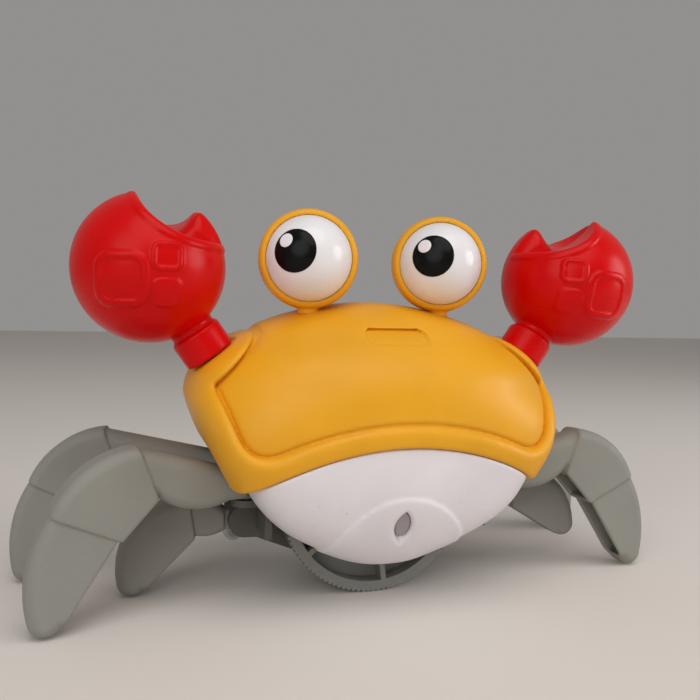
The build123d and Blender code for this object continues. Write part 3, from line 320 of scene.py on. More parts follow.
def arc_points(start, middle, end, steps=10):
    """Points along the arc through three points, without its end."""
    (ax, ay), (bx, by), (cx, cy) = start, middle, end
    a, b, c = (x * x + y * y for x, y in (start, middle, end))
    d = 2 * (ax * (by - cy) + bx * (cy - ay) + cx * (ay - by))
    ux = (a * (by - cy) + b * (cy - ay) + c * (ay - by)) / d
    uy = (a * (cx - bx) + b * (ax - cx) + c * (bx - ax)) / d
    first = math.atan2(ay - uy, ax - ux)
    mid = (math.atan2(by - uy, bx - ux) - first) % (2 * math.pi)
    last = (math.atan2(cy - uy, cx - ux) - first) % (2 * math.pi)
    if mid > last:
        last -= 2 * math.pi
    radius = math.hypot(ax - ux, ay - uy)
    turns = [first + last * step / steps for step in range(steps)]
    return [(ux + radius * math.cos(turn), uy + radius * math.sin(turn)) for turn in turns]


def link(name, data):
    """A new object in the scene, made from a mesh, a lamp or a camera."""
    made = bpy.data.objects.new(name, data)
    bpy.context.scene.collection.objects.link(made)
    return made


def skin(name, grid, field):
    """A smooth mesh of a field's surface."""
    volume = openvdb.FloatGrid(FIELD_REACH * grid.step)
    volume.copyFromArray(np.ascontiguousarray(grid.spread(field), dtype=np.float32))
    points, quads = volume.convertToQuads(isovalue=0.0)
    points = (points * grid.step + grid.low) * MM
    mesh = bpy.data.meshes.new(name)
    mesh.from_pydata(points.tolist(), [], quads.tolist())
    mesh.shade_smooth()
    mesh.update()
    return link(name, mesh)


# Shells


def plan_power(square):
    """Power of a shell's plan: a soft oval up to 0, nearly a box from 1 on, eased between."""
    share = np.clip(square, 0, 1)
    return PLAN_POWER + (SQUARE_POWER - PLAN_POWER) * share * share * (3 - 2 * share)


def rim_field(grid, inset=0.0):
    """The full body that the rim is cut from: a superellipsoid above, sloped flanks below."""
    rise = np.maximum(grid.z - RIM_HEIGHT, 0.0)
    drop = np.maximum(RIM_HEIGHT - grid.z, 0.0)
    flank = (1 - np.minimum(drop / FLANK_DROP, FLANK_LIMIT) ** FLANK_POWER) ** (1 / FLANK_POWER)
    front = (1 - np.minimum(drop / RIM_DROP, FLANK_LIMIT) ** SIDE_POWER) ** (1 / SIDE_POWER)
    power = plan_power((SQUARE_START - grid.z) / SQUARE_SPAN)
    plan = np.abs(grid.x / (RIM_HALF_WIDTH * flank - inset)) ** power
    plan = plan + np.abs(grid.y / (RIM_HALF_DEPTH * front - inset)) ** power
    total = plan ** (SIDE_POWER / power) + (rise / (RIM_RISE - inset)) ** SIDE_POWER
    return grid.even(total ** (1 / SIDE_POWER) - 1)


def dome_field(grid, inset=0.0):
    """The ellipsoid of the dome panel."""
    total = ((grid.x / (DOME[0] - inset)) ** 2 + (grid.y / (DOME[1] - inset)) ** 2
             + ((grid.z - DOME_HEIGHT) / (DOME[2] - inset)) ** 2)
    return grid.even(np.sqrt(total) - 1)


def panel_field(grid):
    """The dome panel's outline in the front view, with round lower and sharp upper corners."""
    centre = PARTING_CREST - PARTING_RADIUS
    radius = PARTING_RADIUS + RIM_BAND + PANEL_ROUND
    foot_end = PANEL_CORNER - PANEL_FILLET
    foot = []
    for step in range(-PANEL_STEPS, PANEL_STEPS + 1):
        x = foot_end * step / PANEL_STEPS
        foot.append((x, centre + math.sqrt(radius ** 2 - x * x)))
    side = (PANEL_SIDE[0] - PANEL_ROUND, PANEL_SIDE[1])
    corner = (PANEL_CORNER, centre + math.sqrt(radius ** 2 - PANEL_CORNER ** 2))
    bend = (foot[-1], corner, moved(corner, corner, side, PANEL_FILLET))
    fillet = []
    for step in range(1, PANEL_STEPS + 1):
        share = step / PANEL_STEPS
        weights = ((1 - share) ** 2, 2 * share * (1 - share), share ** 2)
        fillet.append(tuple(sum(w * p[i] for w, p in zip(weights, bend)) for i in (0, 1)))
    inset = PANEL_ROUND * PANEL_TOP_INSET
    top = (PANEL_TOP[0] - inset, PANEL_TOP[1] - inset)
    right = fillet + [side, top, (top[0] - RIM_BAND, PANEL_CROWN)]
    left = [(-x, z) for x, z in reversed(right)]
    return polygon_field(grid.x, grid.z, foot + right + left) - PANEL_ROUND


def arm_points(sign):
    """Wrist seat and arm direction of one side."""
    flip = np.array((sign, 1.0, 1.0))
    return (WRIST - ARM * SEAT_SINK) * flip, ARM * flip


def parting_field(grid, radius):
    """The roll that parts the two shells."""
    return np.sqrt(grid.x ** 2 + (grid.z - PARTING_CREST + PARTING_RADIUS) ** 2) - radius


def top_shell():
    """Rim and dome panel, with the wrist seats, the slot and the leg windows."""
    grid = Grid(*TOP_BLOCK, TOP_GRID)
    panel = panel_field(grid)
    form = smooth_min(dome_field(grid), rim_field(grid, PANEL_SINK), PANEL_BLEND)
    field = smooth_max(rim_field(grid), -panel, RIM_ROUND)
    field = np.minimum(field, smooth_max(form, panel + CREASE, PANEL_EDGE))
    field = np.minimum(field, np.maximum(form + 2 * CREASE, panel - CREASE_REACH))
    for sign in SIDES.values():
        seat, direction = arm_points(sign)
        away, along = rod_field(grid, seat, direction)
        field = smooth_max(field, -np.maximum(away - COLLAR_RADIUS - SEAT_CLEARANCE, -along), SEAT_EDGE)
    slot = rounded_field(grid.x, grid.z - SLOT_HEIGHT, SLOT_LENGTH, SLOT_WIDTH, SLOT_ROUND)
    sink = SLOT_DEPTH * np.clip((grid.z - SLOT_HEIGHT) / SLOT_WIDTH + SLOT_MIDDLE, SLOT_LEAST, 1)
    recess = np.maximum(np.maximum(slot, grid.y), -(form + sink))
    field = smooth_max(field, -recess, SLOT_EDGE)
    low_room = np.where(grid.z < RIM_HEIGHT, rim_field(grid, WALL), -1.0)
    room = np.minimum(np.maximum(dome_field(grid, WALL), low_room), rim_field(grid, PANEL_SINK + WALL))
    field = np.maximum(field, -room)
    field = smooth_max(field, -parting_field(grid, PARTING_RADIUS), PARTING_EDGE)
    window = box_field(grid.folded(), LEG_WINDOW, LEG_WINDOW_ROUND)
    return skin("top_shell_skin", grid, smooth_max(field, -window, LEG_WINDOW_EDGE))


def belly_form(grid, inset=0.0):
    """The bowl of the belly."""
    drop = np.minimum(BELLY_CENTRE - grid.z, BELLY_RADIUS - inset - BELLY_KEEL)
    half_width = np.sqrt((BELLY_RADIUS - inset) ** 2 - drop ** 2)
    share = np.clip((BELLY_TOP - grid.z) / (BELLY_DROP - inset), 0, BELLY_LIMIT)
    half_depth = (BELLY_HALF_DEPTH - inset) * (1 - share ** BELLY_POWER) ** (1 / BELLY_POWER)
    power = plan_power((grid.z - BELLY_ROUND_TO) / BELLY_SQUARE_SPAN)
    plan = np.abs(grid.x / half_width) ** power + np.abs(grid.y / half_depth) ** power
    bowl = grid.even(plan ** (1 / power) - 1)
    return smooth_max(bowl, BELLY_BOTTOM + inset - grid.z, BELLY_BOTTOM_EDGE)


def almond_field(grid):
    """The pointed oval of the sensor window in the front view."""
    arc = (WINDOW_LENGTH ** 2 + WINDOW_WIDTH ** 2) / (4 * WINDOW_WIDTH)
    shift = arc - WINDOW_WIDTH / 2
    return np.sqrt((np.abs(grid.x) + shift) ** 2 + (grid.z - WINDOW_HEIGHT) ** 2) - arc


def bay_field(grid, widening):
    """The leg bays at both sides of the belly."""
    sides = (BAY_HALF_WIDTH - widening, FAR)
    return box_field(grid.folded(), (sides, (BAY_FRONT - widening, BAY_REAR + widening), (BELOW, FAR)))


def belly_shell():
    """Bowl with the raised bib, the sensor window and the holes for wheels, socket, switch and screws."""
    grid = Grid(*BELLY_BLOCK, BELLY_GRID)
    bowl = belly_form(grid)
    bib = np.sqrt(grid.x ** 2 + ((grid.z - BELLY_BOTTOM) / BIB_STRETCH) ** 2) - BIB_RADIUS
    raised = smooth_max(np.maximum(bowl - BIB_RISE, grid.y - BIB_BACK), bib, BIB_EDGE)
    field = smooth_min(bowl, raised, BIB_FOOT)
    field = np.maximum(field, -bay_field(grid, 0.0))
    field = np.maximum(field, -np.maximum(belly_form(grid, WALL), -bay_field(grid, WALL)))
    for hole in (WHEEL_SLOT, SOCKET_HOLE, SWITCH_SLOT):
        field = np.maximum(field, -box_field(grid, hole))
    almond = almond_field(grid)
    field = smooth_max(field, -np.maximum(almond, grid.y - WINDOW_BACK), WINDOW_EDGE)
    lean = np.clip(0.5 - grid.x / WINDOW_WIDTH - (grid.z - WINDOW_HEIGHT) / WINDOW_LENGTH, 0, 1)
    bevel = (almond + BIB_RISE - bowl - WINDOW_BEVEL * lean) / math.sqrt(2)
    field = smooth_max(field, -np.maximum(bevel, grid.y - WINDOW_BACK), BEVEL_EDGE)
    for x in (-POST_X, POST_X):
        seat = np.sqrt((grid.x - x) ** 2 + (grid.y - POST_Y) ** 2) - SCREW_HEAD - SEAM_GAP
        field = np.maximum(field, -np.maximum(seat, grid.z - SCREW_LEVEL))
    field = smooth_max(field, parting_field(grid, PARTING_RADIUS - SEAM_GAP), BELLY_EDGE)
    return skin("belly_shell_skin", grid, field)


def sensor():
    """Infrared sensor with the pointed lens that closes its window."""
    (x_low, y_low, z_low), (x_high, y_high, z_high) = SENSOR_BLOCK
    grid = Grid((x_low, y_low, WINDOW_HEIGHT + z_low), (x_high, y_high, WINDOW_HEIGHT + z_high), SENSOR_GRID)
    depth = belly_form(grid) + SENSOR_BACK
    lens = smooth_max(np.maximum(almond_field(grid) + SEAM_GAP, depth), grid.y - WINDOW_BACK, LENS_EDGE)
    away, place = rod_field(grid, (0, SENSOR_FRONT, WINDOW_HEIGHT), (0, 1, 0))
    tube = np.maximum(away - SENSOR_RADIUS, np.maximum(depth + TUBE_SINK, place - SENSOR_LENGTH))
    return skin("ir_sensor_skin", grid, np.minimum(lens, tube))


def body_screws():
    """Four screws from below, the rear heads in open seats and the front heads behind the skin."""
    low = (-POST_X - SCREW_MARGIN, -POST_Y - SCREW_MARGIN, SCREW_LEVEL - SCREW_MARGIN)
    high = (POST_X + SCREW_MARGIN, POST_Y + SCREW_MARGIN, SCREW_TOP + SCREW_TOP_MARGIN)
    grid = Grid(low, high, SCREW_GRID)
    x, y = np.abs(grid.x) - POST_X, np.abs(grid.y) - POST_Y
    away = np.sqrt(x ** 2 + y ** 2)
    level = SCREW_LEVEL + np.where(grid.y < 0, FRONT_HEAD_RISE, 0.0)
    length = np.maximum(level - SCREW_HEAD_HEIGHT - grid.z, grid.z - SCREW_TOP)
    shank = np.maximum(away - SCREW_RADIUS, length)
    half_height = SCREW_HEAD_HEIGHT / 2
    head = smooth_max(away - SCREW_HEAD, np.abs(grid.z - level + half_height) - half_height, SCREW_EDGE)
    cross = np.minimum(np.abs(x), np.abs(y)) - CROSS_HALF_WIDTH
    drive = np.maximum(np.maximum(cross, away - CROSS_REACH), grid.z - level + CROSS_DEPTH)
    return skin("body_screws_skin", grid, np.maximum(np.minimum(shank, head), -drive))


# Claws


def claw_frame(grid, centre, side, sign):
    """Every point in the claw's own frame: outward, back and up."""
    look = -sign * math.radians(CLAW_LOOK)
    roll = math.radians(CLAW_ROLL[side])
    px, py, pz = (grid.x - centre[0]) * sign, grid.y - centre[1], grid.z - centre[2]
    turned = px * math.cos(look) + py * math.sin(look)
    x = turned * math.cos(roll) - pz * math.sin(roll)
    y = py * math.cos(look) - px * math.sin(look)
    z = turned * math.sin(roll) + pz * math.cos(roll)
    return x, y, z


def raised_squares(field, ball, x, y, z):
    """A claw's field with its raised squares and rings in front."""
    for mx, mz, width, height, ring in PATCHES:
        patch = rounded_field(x - mx, z - mz, width, height, min(width, height) / PATCH_CORNERS)
        if ring:
            patch = np.abs(patch + ring / 2) - ring / 2
        raised = smooth_max(ball - PATCH_RISE, np.maximum(patch, y), PATCH_EDGE)
        field = smooth_min(field, raised, PATCH_FOOT)
    return field


def wrist_collar(grid, seat, direction):
    """The collar between the shell and the claw's ball, and the neck inside it."""
    away, place = rod_field(grid, seat, direction)
    collar = smooth_max(away - COLLAR_RADIUS, COLLAR_START - place, COLLAR_EDGE)
    collar = smooth_max(collar, place - COLLAR_LENGTH + COLLAR_RELIEF, COLLAR_SHOULDER)
    length = np.maximum(WRIST_START - place, place - COLLAR_LENGTH - WRIST_DEPTH)
    return np.minimum(collar, np.maximum(away - COLLAR_RADIUS + WRIST_THINNING, length))


def claw(side, sign):
    """Scooped ball with its lip, thumb, raised squares and wrist collar."""
    seat, direction = arm_points(sign)
    centre = seat + direction * (COLLAR_LENGTH + math.sqrt(CLAW_RADIUS ** 2 - COLLAR_RADIUS ** 2))
    low = np.minimum(seat - SEAT_MARGIN, centre - CLAW_RADIUS - CLAW_MARGIN)
    high = np.maximum(seat + SEAT_MARGIN, centre + CLAW_RADIUS + CLAW_MARGIN)
    grid = Grid(low, high, CLAW_GRID)
    x, y, z = claw_frame(grid, centre, side, sign)
    ball = ball_field(grid, centre, CLAW_BALL)
    bite = np.sqrt((x + BITE_INWARD) ** 2 + (z - BITE_HEIGHT) ** 2) - BITE_RADIUS
    slope = math.radians(TROUGH_SLOPE)
    across = (z - TROUGH_HEIGHT) * math.cos(slope) - y * math.sin(slope)
    trough = np.sqrt((x + TROUGH_INWARD) ** 2 + across ** 2) - TROUGH_RADIUS
    lip = smooth_max(ball - CLAW_SKIN, np.maximum(bite - LIP_WIDTH, y - LIP_BACK), LIP_EDGE)
    field = raised_squares(smooth_min(ball, lip, LIP_FOOT), ball, x, y, z)
    behind = BITE_BACK - y
    jaw = smooth_max(smooth_max(field, -bite, BITE_EDGE), -np.maximum(trough, behind), TROUGH_EDGE)
    thumb = smooth_max(smooth_max(field, behind, THUMB_ROUND), -trough, THUMB_EDGE)
    field = smooth_min(np.minimum(jaw, thumb), wrist_collar(grid, seat, direction), WRIST_BLEND)
    return skin("claw_%s_skin" % side, grid, field)


# Eyes


def eye_direction(turn, tilt=0.0):
    """Forward direction turned about Z and raised, in degrees."""
    heading, rise = math.radians(turn), math.radians(tilt)
    return np.array((math.sin(heading) * math.cos(rise), -math.cos(heading) * math.cos(rise), math.sin(rise)))


def eye_centres(side):
    """Centres of a side's cup and ball, and the way that the cup faces."""
    cup = np.array((SIDES[side] * EYE_X, EYE_Y, EYE_HEIGHT))
    forward = eye_direction(EYE_TURN[side])
    return cup, cup + forward * BALL_FORWARD, forward


def gaze_direction(side, offset=(0.0, 0.0)):
    """The way that a side's pupil looks, moved by two angles."""
    turn, tilt = GAZE[side]
    return eye_direction(EYE_TURN[side] + (turn + offset[0]), tilt + offset[1])


def eye_cup(side):
    """Cup on its neck."""
    centre, ball_centre, forward = eye_centres(side)
    reach = CUP_RADIUS + CUP_MARGIN
    grid = Grid(centre - (reach, reach, CUP_RADIUS + NECK_MARGIN), centre + reach, EYE_GRID)
    cup = ball_field(grid, centre, CUP_RADIUS)
    _, place = rod_field(grid, centre, forward)
    cup = smooth_max(cup, place - CUP_OPENING, CUP_EDGE)
    neck = np.sqrt((grid.x - centre[0]) ** 2 + (grid.y - EYE_Y) ** 2) - NECK_RADIUS
    neck = np.maximum(neck, np.maximum(NECK_FOOT - grid.z, grid.z - EYE_HEIGHT + NECK_TOP))
    field = smooth_min(cup, neck, NECK_BLEND)
    ball = ball_field(grid, ball_centre, BALL_RADIUS + BALL_GAP)
    return skin("eye_cup_%s_skin" % side, grid, smooth_max(field, -ball, BALL_EDGE))


def eyeball(side):
    """Glossy ball with a shallow seat for its pupil."""
    _, centre, _ = eye_centres(side)
    reach = BALL_RADIUS + BALL_MARGIN
    grid = Grid(centre - reach, centre + reach, EYE_GRID)
    ball = ball_field(grid, centre, BALL_RADIUS)
    away, place = rod_field(grid, centre, gaze_direction(side))
    seat = np.maximum(np.maximum(away - PUPIL_RADIUS + 2 * PUPIL_SEAT, -place), -(ball + PUPIL_SEAT))
    return skin("eyeball_%s_skin" % side, grid, np.maximum(ball, -seat))


def lens_cap(name, centre, direction, radius, depth, half_width):
    """A round disc that follows a ball, with a soft edge."""
    forward = Vector(direction).normalized()
    side = forward.orthogonal().normalized()
    rise = forward.cross(side)
    points = []
    for bottom in (False, True):
        for ring in range(CAP_RINGS + 1):
            share = ring / CAP_RINGS
            away = half_width * share
            soft = CAP_DROP * max(0.0, share - CAP_SOFT_FROM) / CAP_SOFT_SPAN
            out = radius - depth if bottom else radius - soft
            height = math.sqrt(out * out - away * away)
            for spoke in range(CAP_SPOKES):
                turn = 2 * math.pi * spoke / CAP_SPOKES
                place = forward * height + side * (away * math.cos(turn)) + rise * (away * math.sin(turn))
                points.append((Vector(centre) + place) * MM)
    faces = []
    layer = (CAP_RINGS + 1) * CAP_SPOKES
    for ring in range(CAP_RINGS):
        for spoke in range(CAP_SPOKES):
            after = (spoke + 1) % CAP_SPOKES
            a, b = ring * CAP_SPOKES + spoke, ring * CAP_SPOKES + after
            c, d = a + CAP_SPOKES, b + CAP_SPOKES
            faces.append((a, c, d, b))
            faces.append((layer + a, layer + b, layer + d, layer + c))
    edge = CAP_RINGS * CAP_SPOKES
    for spoke in range(CAP_SPOKES):
        after = (spoke + 1) % CAP_SPOKES
        faces.append((edge + spoke, layer + edge + spoke, layer + edge + after, edge + after))
    mesh = bpy.data.meshes.new(name)
    mesh.from_pydata(points, [], faces)
    mesh.shade_smooth()
    return link(name, mesh)


def pupil(side):
    """Black disc in the eyeball's seat."""
    _, centre, _ = eye_centres(side)
    name = "pupil_%s_skin" % side
    return lens_cap(name, centre, gaze_direction(side), BALL_RADIUS + PUPIL_PROUD, PUPIL_DEPTH, PUPIL_RADIUS)


def glint(side):
    """White dot at the pupil's upper edge."""
    _, centre, _ = eye_centres(side)
    name, direction = "glint_%s_skin" % side, gaze_direction(side, GLINT_OFFSET)
    return lens_cap(name, centre, direction, BALL_RADIUS + GLINT_PROUD, GLINT_DEPTH, GLINT_RADIUS)


# Legs


def pointed(outer, inner, toe):
    """Claw-like outline: bowed outer edge, round toe, straight inner edge."""
    centre = (toe[0], toe[1] + TOE_RADIUS)
    rx, rz = inner[0] - centre[0], inner[1] - centre[1]
    sole = math.atan2(rz, rx) + math.acos(TOE_RADIUS / math.hypot(rx, rz)) - 2 * math.pi
    lean = -math.radians(TOE_LEAN)
    under = [lean + (sole - lean) * step / TOE_STEPS for step in range(TOE_STEPS + 1)]
    round_toe = [(centre[0] + TOE_RADIUS * math.cos(a), centre[1] + TOE_RADIUS * math.sin(a)) for a in under]
    heel = round_toe[0]
    chord = (outer[0] - heel[0], outer[1] - heel[1])
    turn = math.atan2(chord[1], chord[0]) - (lean + math.pi / 2)
    bulge = math.tan(turn / 2) / 2
    middle = ((outer[0] + heel[0]) / 2 + chord[1] * bulge, (outer[1] + heel[1]) / 2 - chord[0] * bulge)
    return arc_points(outer, middle, heel) + round_toe + [inner]


def hollow_segment(s, z, t, outline, bow, half):
    """A moulded segment, rounded along its bow and open at its last edge, and the room inside it."""
    near, far = outline[-2], outline[-1]
    left = (near[1] - far[1], far[0] - near[0])
    near_out, far_out = (moved(p, (0, 0), left, SPILL) for p in (near, far))
    opened = polygon_field(s, z, outline[:-1] + [near_out, far_out, far])
    wide = [moved(outline[0], outline[1], outline[0], SPILL)] + outline[:bow]
    if bow < len(outline) - 1:
        wide.append(moved(outline[bow - 1], outline[bow - 2], outline[bow - 1], SPILL))
        near_out = moved(near_out, far, near, SPILL)
    wide += [near_out, moved(far_out, near, far, SPILL)]
    body = slab_field(polygon_field(s, z, wide), t, half, LEG_ROUND)
    return smooth_max(body, polygon_field(s, z, outline), LEG_EDGE), np.maximum(body, opened) + LEG_WALL


def thigh_field(s, z, t, knee_top, knee_low):
    """A walking leg's thigh, flat at the knee, and the boss on its hip pin."""
    neck = (THIGH_ROOT, HIP_HIGH)
    hollow = (THIGH_ROOT, HIP_LOW)
    sag = arc_points(knee_low, (SAG_PLACE * knee_low[0], THIGH_SAG), hollow) + [hollow]
    root = [(0.0, HIP_LOW), (0.0, HIP_HIGH), neck, knee_top]
    end = [moved(knee_top, neck, knee_top, SPILL), moved(knee_low, sag[1], knee_low, SPILL)]
    field = slab_field(polygon_field(s, z, root + end + sag), t, THIGH_HALF, LEG_ROUND)
    field = np.maximum(field, polygon_field(s, z, root + sag))
    middle, half_height = (HIP_LOW + HIP_HIGH) / 2, (HIP_HIGH - HIP_LOW) / 2
    boss = np.maximum(np.sqrt(s * s + t * t) - HIP_BOSS, np.abs(z - middle) - half_height)
    return np.minimum(field, boss)


def walking_leg(name, sign, hip_y, knee, angle):
    """A front or rear leg: thigh, shin and pointed tip, stepped at each seam."""
    turn = math.radians(angle)
    reach = knee + TIP_REACH + LEG_MARGIN
    hip_x = sign * (HIP_X - LEG_MARGIN)
    tip_x, tip_y = sign * (HIP_X + reach * math.cos(turn)), hip_y + reach * math.sin(turn)
    low = (min(hip_x, tip_x), min(hip_y, tip_y) - LEG_SIDE_MARGIN, LEG_FLOOR)
    high = (max(hip_x, tip_x), max(hip_y, tip_y) + LEG_SIDE_MARGIN, LEG_TOP)
    grid = Grid(low, high, LEG_GRID)
    px, py, z = (grid.x - HIP_X * sign) * sign, grid.y - hip_y, grid.z
    s = px * math.cos(turn) + py * math.sin(turn)
    t = py * math.cos(turn) - px * math.sin(turn)
    knee_top, knee_low = (knee, KNEE_HEIGHT), (knee - KNEE_LEAN, KNEE_HEIGHT - KNEE_DEPTH)
    start = (knee - LEG_STEP, KNEE_HEIGHT + LEG_STEP)
    outer = (knee + SHIN_OUTER[0], SHIN_OUTER[1])
    inner = (knee + SHIN_INNER[0], SHIN_INNER[1])
    low_edge = (knee_low[0] - LEG_STEP, knee_low[1] - LEG_STEP)
    bulge_height = (1 - BULGE_FALL) * KNEE_HEIGHT + BULGE_FALL * SHIN_OUTER[1]
    bulge = (knee + BULGE_REACH * SHIN_OUTER[0], bulge_height)
    shin = arc_points(start, bulge, outer) + [outer, inner, low_edge]
    tip_outer = (outer[0] - LEG_STEP, outer[1] + LEG_STEP)
    tip_inner = (inner[0] + LEG_STEP, inner[1] + LEG_STEP)
    claw_tip = pointed(tip_outer, tip_inner, (knee + TIP_REACH, FLOOR_GAP))
    shin_field, shin_room = hollow_segment(s, z, t, shin, len(shin) - 2, SHIN_HALF)
    tip_field, tip_room = hollow_segment(s, z, t, claw_tip, len(claw_tip) - 1, TIP_HALF)
    field = np.minimum(np.minimum(shin_field, tip_field), thigh_field(s, z, t, knee_top, knee_low))
    field = smooth_max(field, -np.minimum(shin_room, tip_room), LEG_EDGE)
    return skin(name + "_skin", grid, field)


def middle_leg(name, sign, lift):
    """A middle leg, which flaps about an axis along the body's depth."""
    hip_x, hip_y, hip_z = MIDDLE_HIP
    near, far = sign * (hip_x - MIDDLE_BLOCK_IN), sign * (hip_x + MIDDLE_BLOCK_OUT)
    low = (min(near, far), hip_y - MIDDLE_BLOCK_SIDE, LEG_FLOOR)
    high = (max(near, far), hip_y + MIDDLE_BLOCK_SIDE, MIDDLE_BLOCK_TOP)
    grid = Grid(low, high, LEG_GRID)
    turn = math.radians(lift)
    px, pz = (grid.x - sign * hip_x) * sign, grid.z - hip_z
    s = px * math.cos(turn) + pz * math.sin(turn)
    z = pz * math.cos(turn) - px * math.sin(turn)
    t = grid.y - hip_y
    knee = MIDDLE_KNEE
    root, root_half = MIDDLE_ROOT
    eye_end, eye_half = MIDDLE_EYE
    end_top = (knee + MIDDLE_END_TOP[0], MIDDLE_END_TOP[1])
    end_low = (knee + MIDDLE_END_LOW[0], MIDDLE_END_LOW[1])
    top = arc_points((root, root_half), (MIDDLE_BOW * knee, MIDDLE_CREST), end_top)
    below = arc_points(end_low, (MIDDLE_BOW * knee, MIDDLE_HOLLOW), (root, -root_half))
    thigh = top + [end_top] + below + [(root, -root_half), (eye_end, -eye_half), (eye_end, eye_half)]
    inner = (knee + BLADE_INNER[0], BLADE_INNER[1])
    blade = pointed((knee, BLADE_TOP), inner, (MIDDLE_TIP, FLOOR_GAP - hip_z))
    whole = slab_field(polygon_field(s, z, thigh), t, MIDDLE_HALF, MIDDLE_ROUND)
    eye = np.maximum(whole, np.maximum(np.abs(t) - MIDDLE_EYE_HALF, s - root - MIDDLE_EYE_REACH))
    stepped = np.minimum(np.maximum(whole, root + MIDDLE_EYE_STEP - s), eye)
    blade_field, room = hollow_segment(s, z, t, blade, len(blade) - 1, MIDDLE_HALF + LEG_STEP)
    field = smooth_max(np.minimum(stepped, blade_field), -room, LEG_EDGE)
    return skin(name + "_skin", grid, field)


# Plastics


def noise_node(tree, place, scale, detail):
    """A noise over the piece's own place, with a scale per metre."""
    noise = tree.nodes.new("ShaderNodeTexNoise")
    noise.inputs["Scale"].default_value = scale
    noise.inputs["Detail"].default_value = detail
    tree.links.new(place.outputs["Object"], noise.inputs["Vector"])
    return noise.outputs["Fac"]


def range_node(tree, source, low, high, to_low, to_high):
    """A clamped straight-line map of one value."""
    node = tree.nodes.new("ShaderNodeMapRange")
    for socket, value in zip(("From Min", "From Max", "To Min", "To Max"), (low, high, to_low, to_high)):
        node.inputs[socket].default_value = value
    tree.links.new(source, node.inputs["Value"])
    return node.outputs["Result"]


def mix_node(tree, share, first, second):
    """A mix of two colours, each a colour or a socket."""
    node = tree.nodes.new("ShaderNodeMix")
    node.data_type = "RGBA"
    tree.links.new(share, node.inputs["Factor"])
    for socket, value in zip(("A", "B"), (first, second)):
        target = next(s for s in node.inputs if s.name == socket and s.type == "RGBA")
        if isinstance(value, tuple):
            target.default_value = (*value, 1.0)
        else:
            tree.links.new(value, target)
    return next(s for s in node.outputs if s.type == "RGBA")


def plastic(name, colour, roughness, grain=0.1, dirt=0.0, specular=0.35):
    """A moulded plastic: uneven colour and gloss, spark-eroded grain and specks of dirt."""
    material = bpy.data.materials.new(name)
    material.use_nodes = True
    tree = material.node_tree
    shader = tree.nodes["Principled BSDF"]
    shader.inputs["Specular IOR Level"].default_value = specular
    place = tree.nodes.new("ShaderNodeTexCoord")
    cloud = noise_node(tree, place, *CLOUDS)
    darker = tuple(DARKER * c for c in colour)
    lighter = tuple(min(LIGHTER * c, 1.0) for c in colour)
    tone = mix_node(tree, range_node(tree, cloud, NOISE_LOW, NOISE_HIGH, 0.0, 1.0), darker, lighter)
    if dirt:
        dust = range_node(tree, noise_node(tree, place, *SPECKS), SPECK_FROM, SPECK_FULL, 0.0, dirt)
        tone = mix_node(tree, dust, tone, tuple(DIRT_SHARE * c + DIRT_FLOOR for c in colour))
    tree.links.new(tone, shader.inputs["Base Color"])
    smears = noise_node(tree, place, *SMEARS)
    gloss = range_node(tree, smears, NOISE_LOW, NOISE_HIGH, roughness - GLOSSIER, roughness + DULLER)
    tree.links.new(gloss, shader.inputs["Roughness"])
    bump = tree.nodes.new("ShaderNodeBump")
    bump.inputs["Strength"].default_value = grain
    bump.inputs["Distance"].default_value = GRAIN_HEIGHT
    tree.links.new(noise_node(tree, place, *GRAIN), bump.inputs["Height"])
    tree.links.new(bump.outputs["Normal"], shader.inputs["Normal"])
    return material


def dress(piece, material):
    """Give a piece one material."""
    piece.data.materials.clear()
    piece.data.materials.append(material)


# Camera, floor and light


def place_camera():
    """The photograph's viewpoint."""
    data = bpy.data.cameras.new("camera")
    data.lens = CAMERA_LENS
    data.sensor_width = CAMERA_SENSOR
    camera = link("camera", data)
    yaw, pitch, roll = (math.radians(a) for a in (CAMERA_YAW, CAMERA_PITCH, CAMERA_ROLL))
    forward = Vector((math.sin(yaw) * math.cos(pitch), math.cos(yaw) * math.cos(pitch), -math.sin(pitch)))
    level = Vector((math.cos(yaw), -math.sin(yaw), 0))
    upright = level.cross(forward)
    right = math.cos(roll) * level + math.sin(roll) * upright
    up = right.cross(forward)
    frame = Matrix((right, up, -forward)).transposed().to_4x4()
    frame.translation = Vector(CAMERA_PLACE) * MM
    camera.matrix_world = frame
    bpy.context.scene.camera = camera


def area_lamp(name, place, size, power):
    """A soft box that looks at the toy."""
    data = bpy.data.lights.new(name, "AREA")
    data.shape = "DISK"
    data.size = size
    data.energy = power
    lamp = link(name, data)
    lamp.location = place
    lamp.rotation_euler = (Vector(LAMP_TARGET) - Vector(place)).to_track_quat("-Z", "Y").to_euler()


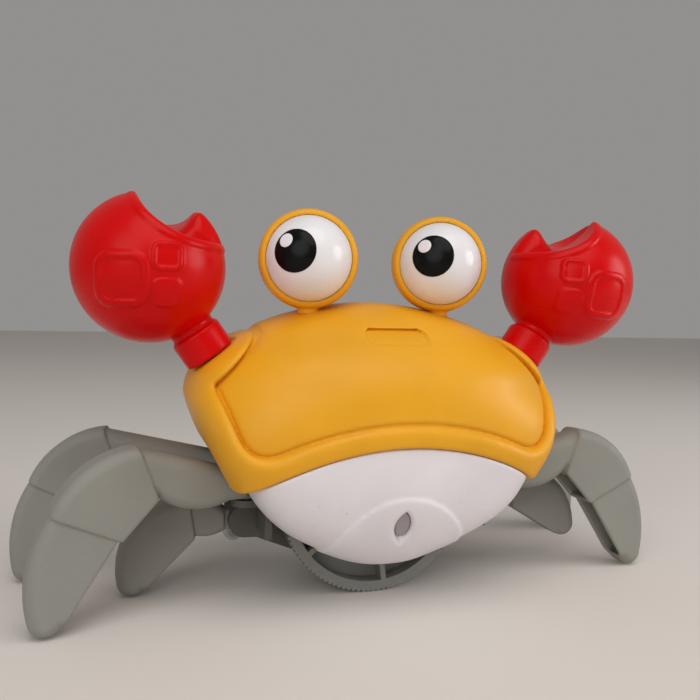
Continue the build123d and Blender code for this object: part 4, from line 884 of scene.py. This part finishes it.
def stage_and_light():
    """Pale floor, soft lamps and an even surround."""
    bpy.ops.mesh.primitive_plane_add(size=FLOOR_SIZE)
    floor = bpy.context.object
    floor.name = "floor"
    paint = bpy.data.materials.new("floor_paint")
    paint.use_nodes = True
    shader = paint.node_tree.nodes["Principled BSDF"]
    shader.inputs["Base Color"].default_value = FLOOR_COLOUR
    shader.inputs["Roughness"].default_value = FLOOR_ROUGHNESS
    dress(floor, paint)
    for name, values in LAMPS.items():
        area_lamp(name, *values)
    world = bpy.data.worlds.new("surround")
    world.use_nodes = True
    world.node_tree.nodes["Background"].inputs["Color"].default_value = SURROUND_COLOUR
    world.node_tree.nodes["Background"].inputs["Strength"].default_value = SURROUND_STRENGTH
    bpy.context.scene.world = world
    bpy.context.scene.view_settings.view_transform = "Standard"


# Assembly


def dress_frame(frame, plastics, slot_of):
    """Plastics and smooth shading of the CAD's own pieces, and painted shade on the leg brackets."""
    for node, piece in frame["nodes"].items():
        dress(piece, plastics[slot_of[node]])
        piece.data.shade_smooth()
        piece.data.set_sharp_from_angle(angle=SHARP_ANGLE)
    for side in SIDES:
        # the leg brackets are leg-grey plastic; this darker grey is painted shade for the shadow that they
        # sit in
        dress(frame["nodes"]["leg_bracket_" + side], plastics["painted_shade_grey"])


def side_skins(side, sign):
    """One side's skins, each with its body and the node that it replaces."""
    eye = "eye_" + side
    skins = [(claw(side, sign), "claw_" + side, "claw_" + side), (eye_cup(side), eye, "eye_cup_" + side)]
    for place, hip_y, knee, angle in (("front", HIP_FRONT_Y, FRONT_KNEE, FRONT_ANGLE),
                                      ("rear", HIP_REAR_Y, REAR_KNEE, REAR_ANGLE)):
        name = "leg_%s_%s" % (place, side)
        skins.append((walking_leg(name, sign, hip_y, knee, angle + sign * SWING), name, name))
    name = "leg_middle_" + side
    skins.append((middle_leg(name, sign, MIDDLE_LIFT if sign > 0 else 0.0), name, name))
    for make, piece in ((eyeball, "eyeball_"), (pupil, "pupil_"), (glint, "glint_")):
        skins.append((make(side), eye, piece + side))
    return skins


def main():
    """Build, dress and light the toy."""
    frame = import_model()
    plastics = {name: plastic(name, *values) for name, values in PLASTICS.items()}
    slot_of = {part["node"]: part["material_slot"] for part in frame["record"]["subparts"]}
    dress_frame(frame, plastics, slot_of)
    skins = [(top_shell(), "body", "top_shell"), (belly_shell(), "body", "belly_shell"),
             (sensor(), "body", "ir_sensor"), (body_screws(), "body", "body_screws")]
    for side, sign in SIDES.items():
        skins += side_skins(side, sign)
    for piece, body, node in skins:
        dress(piece, plastics[slot_of[node]])
        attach(piece, body)
        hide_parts(node)
    stage_and_light()
    place_camera()


main()
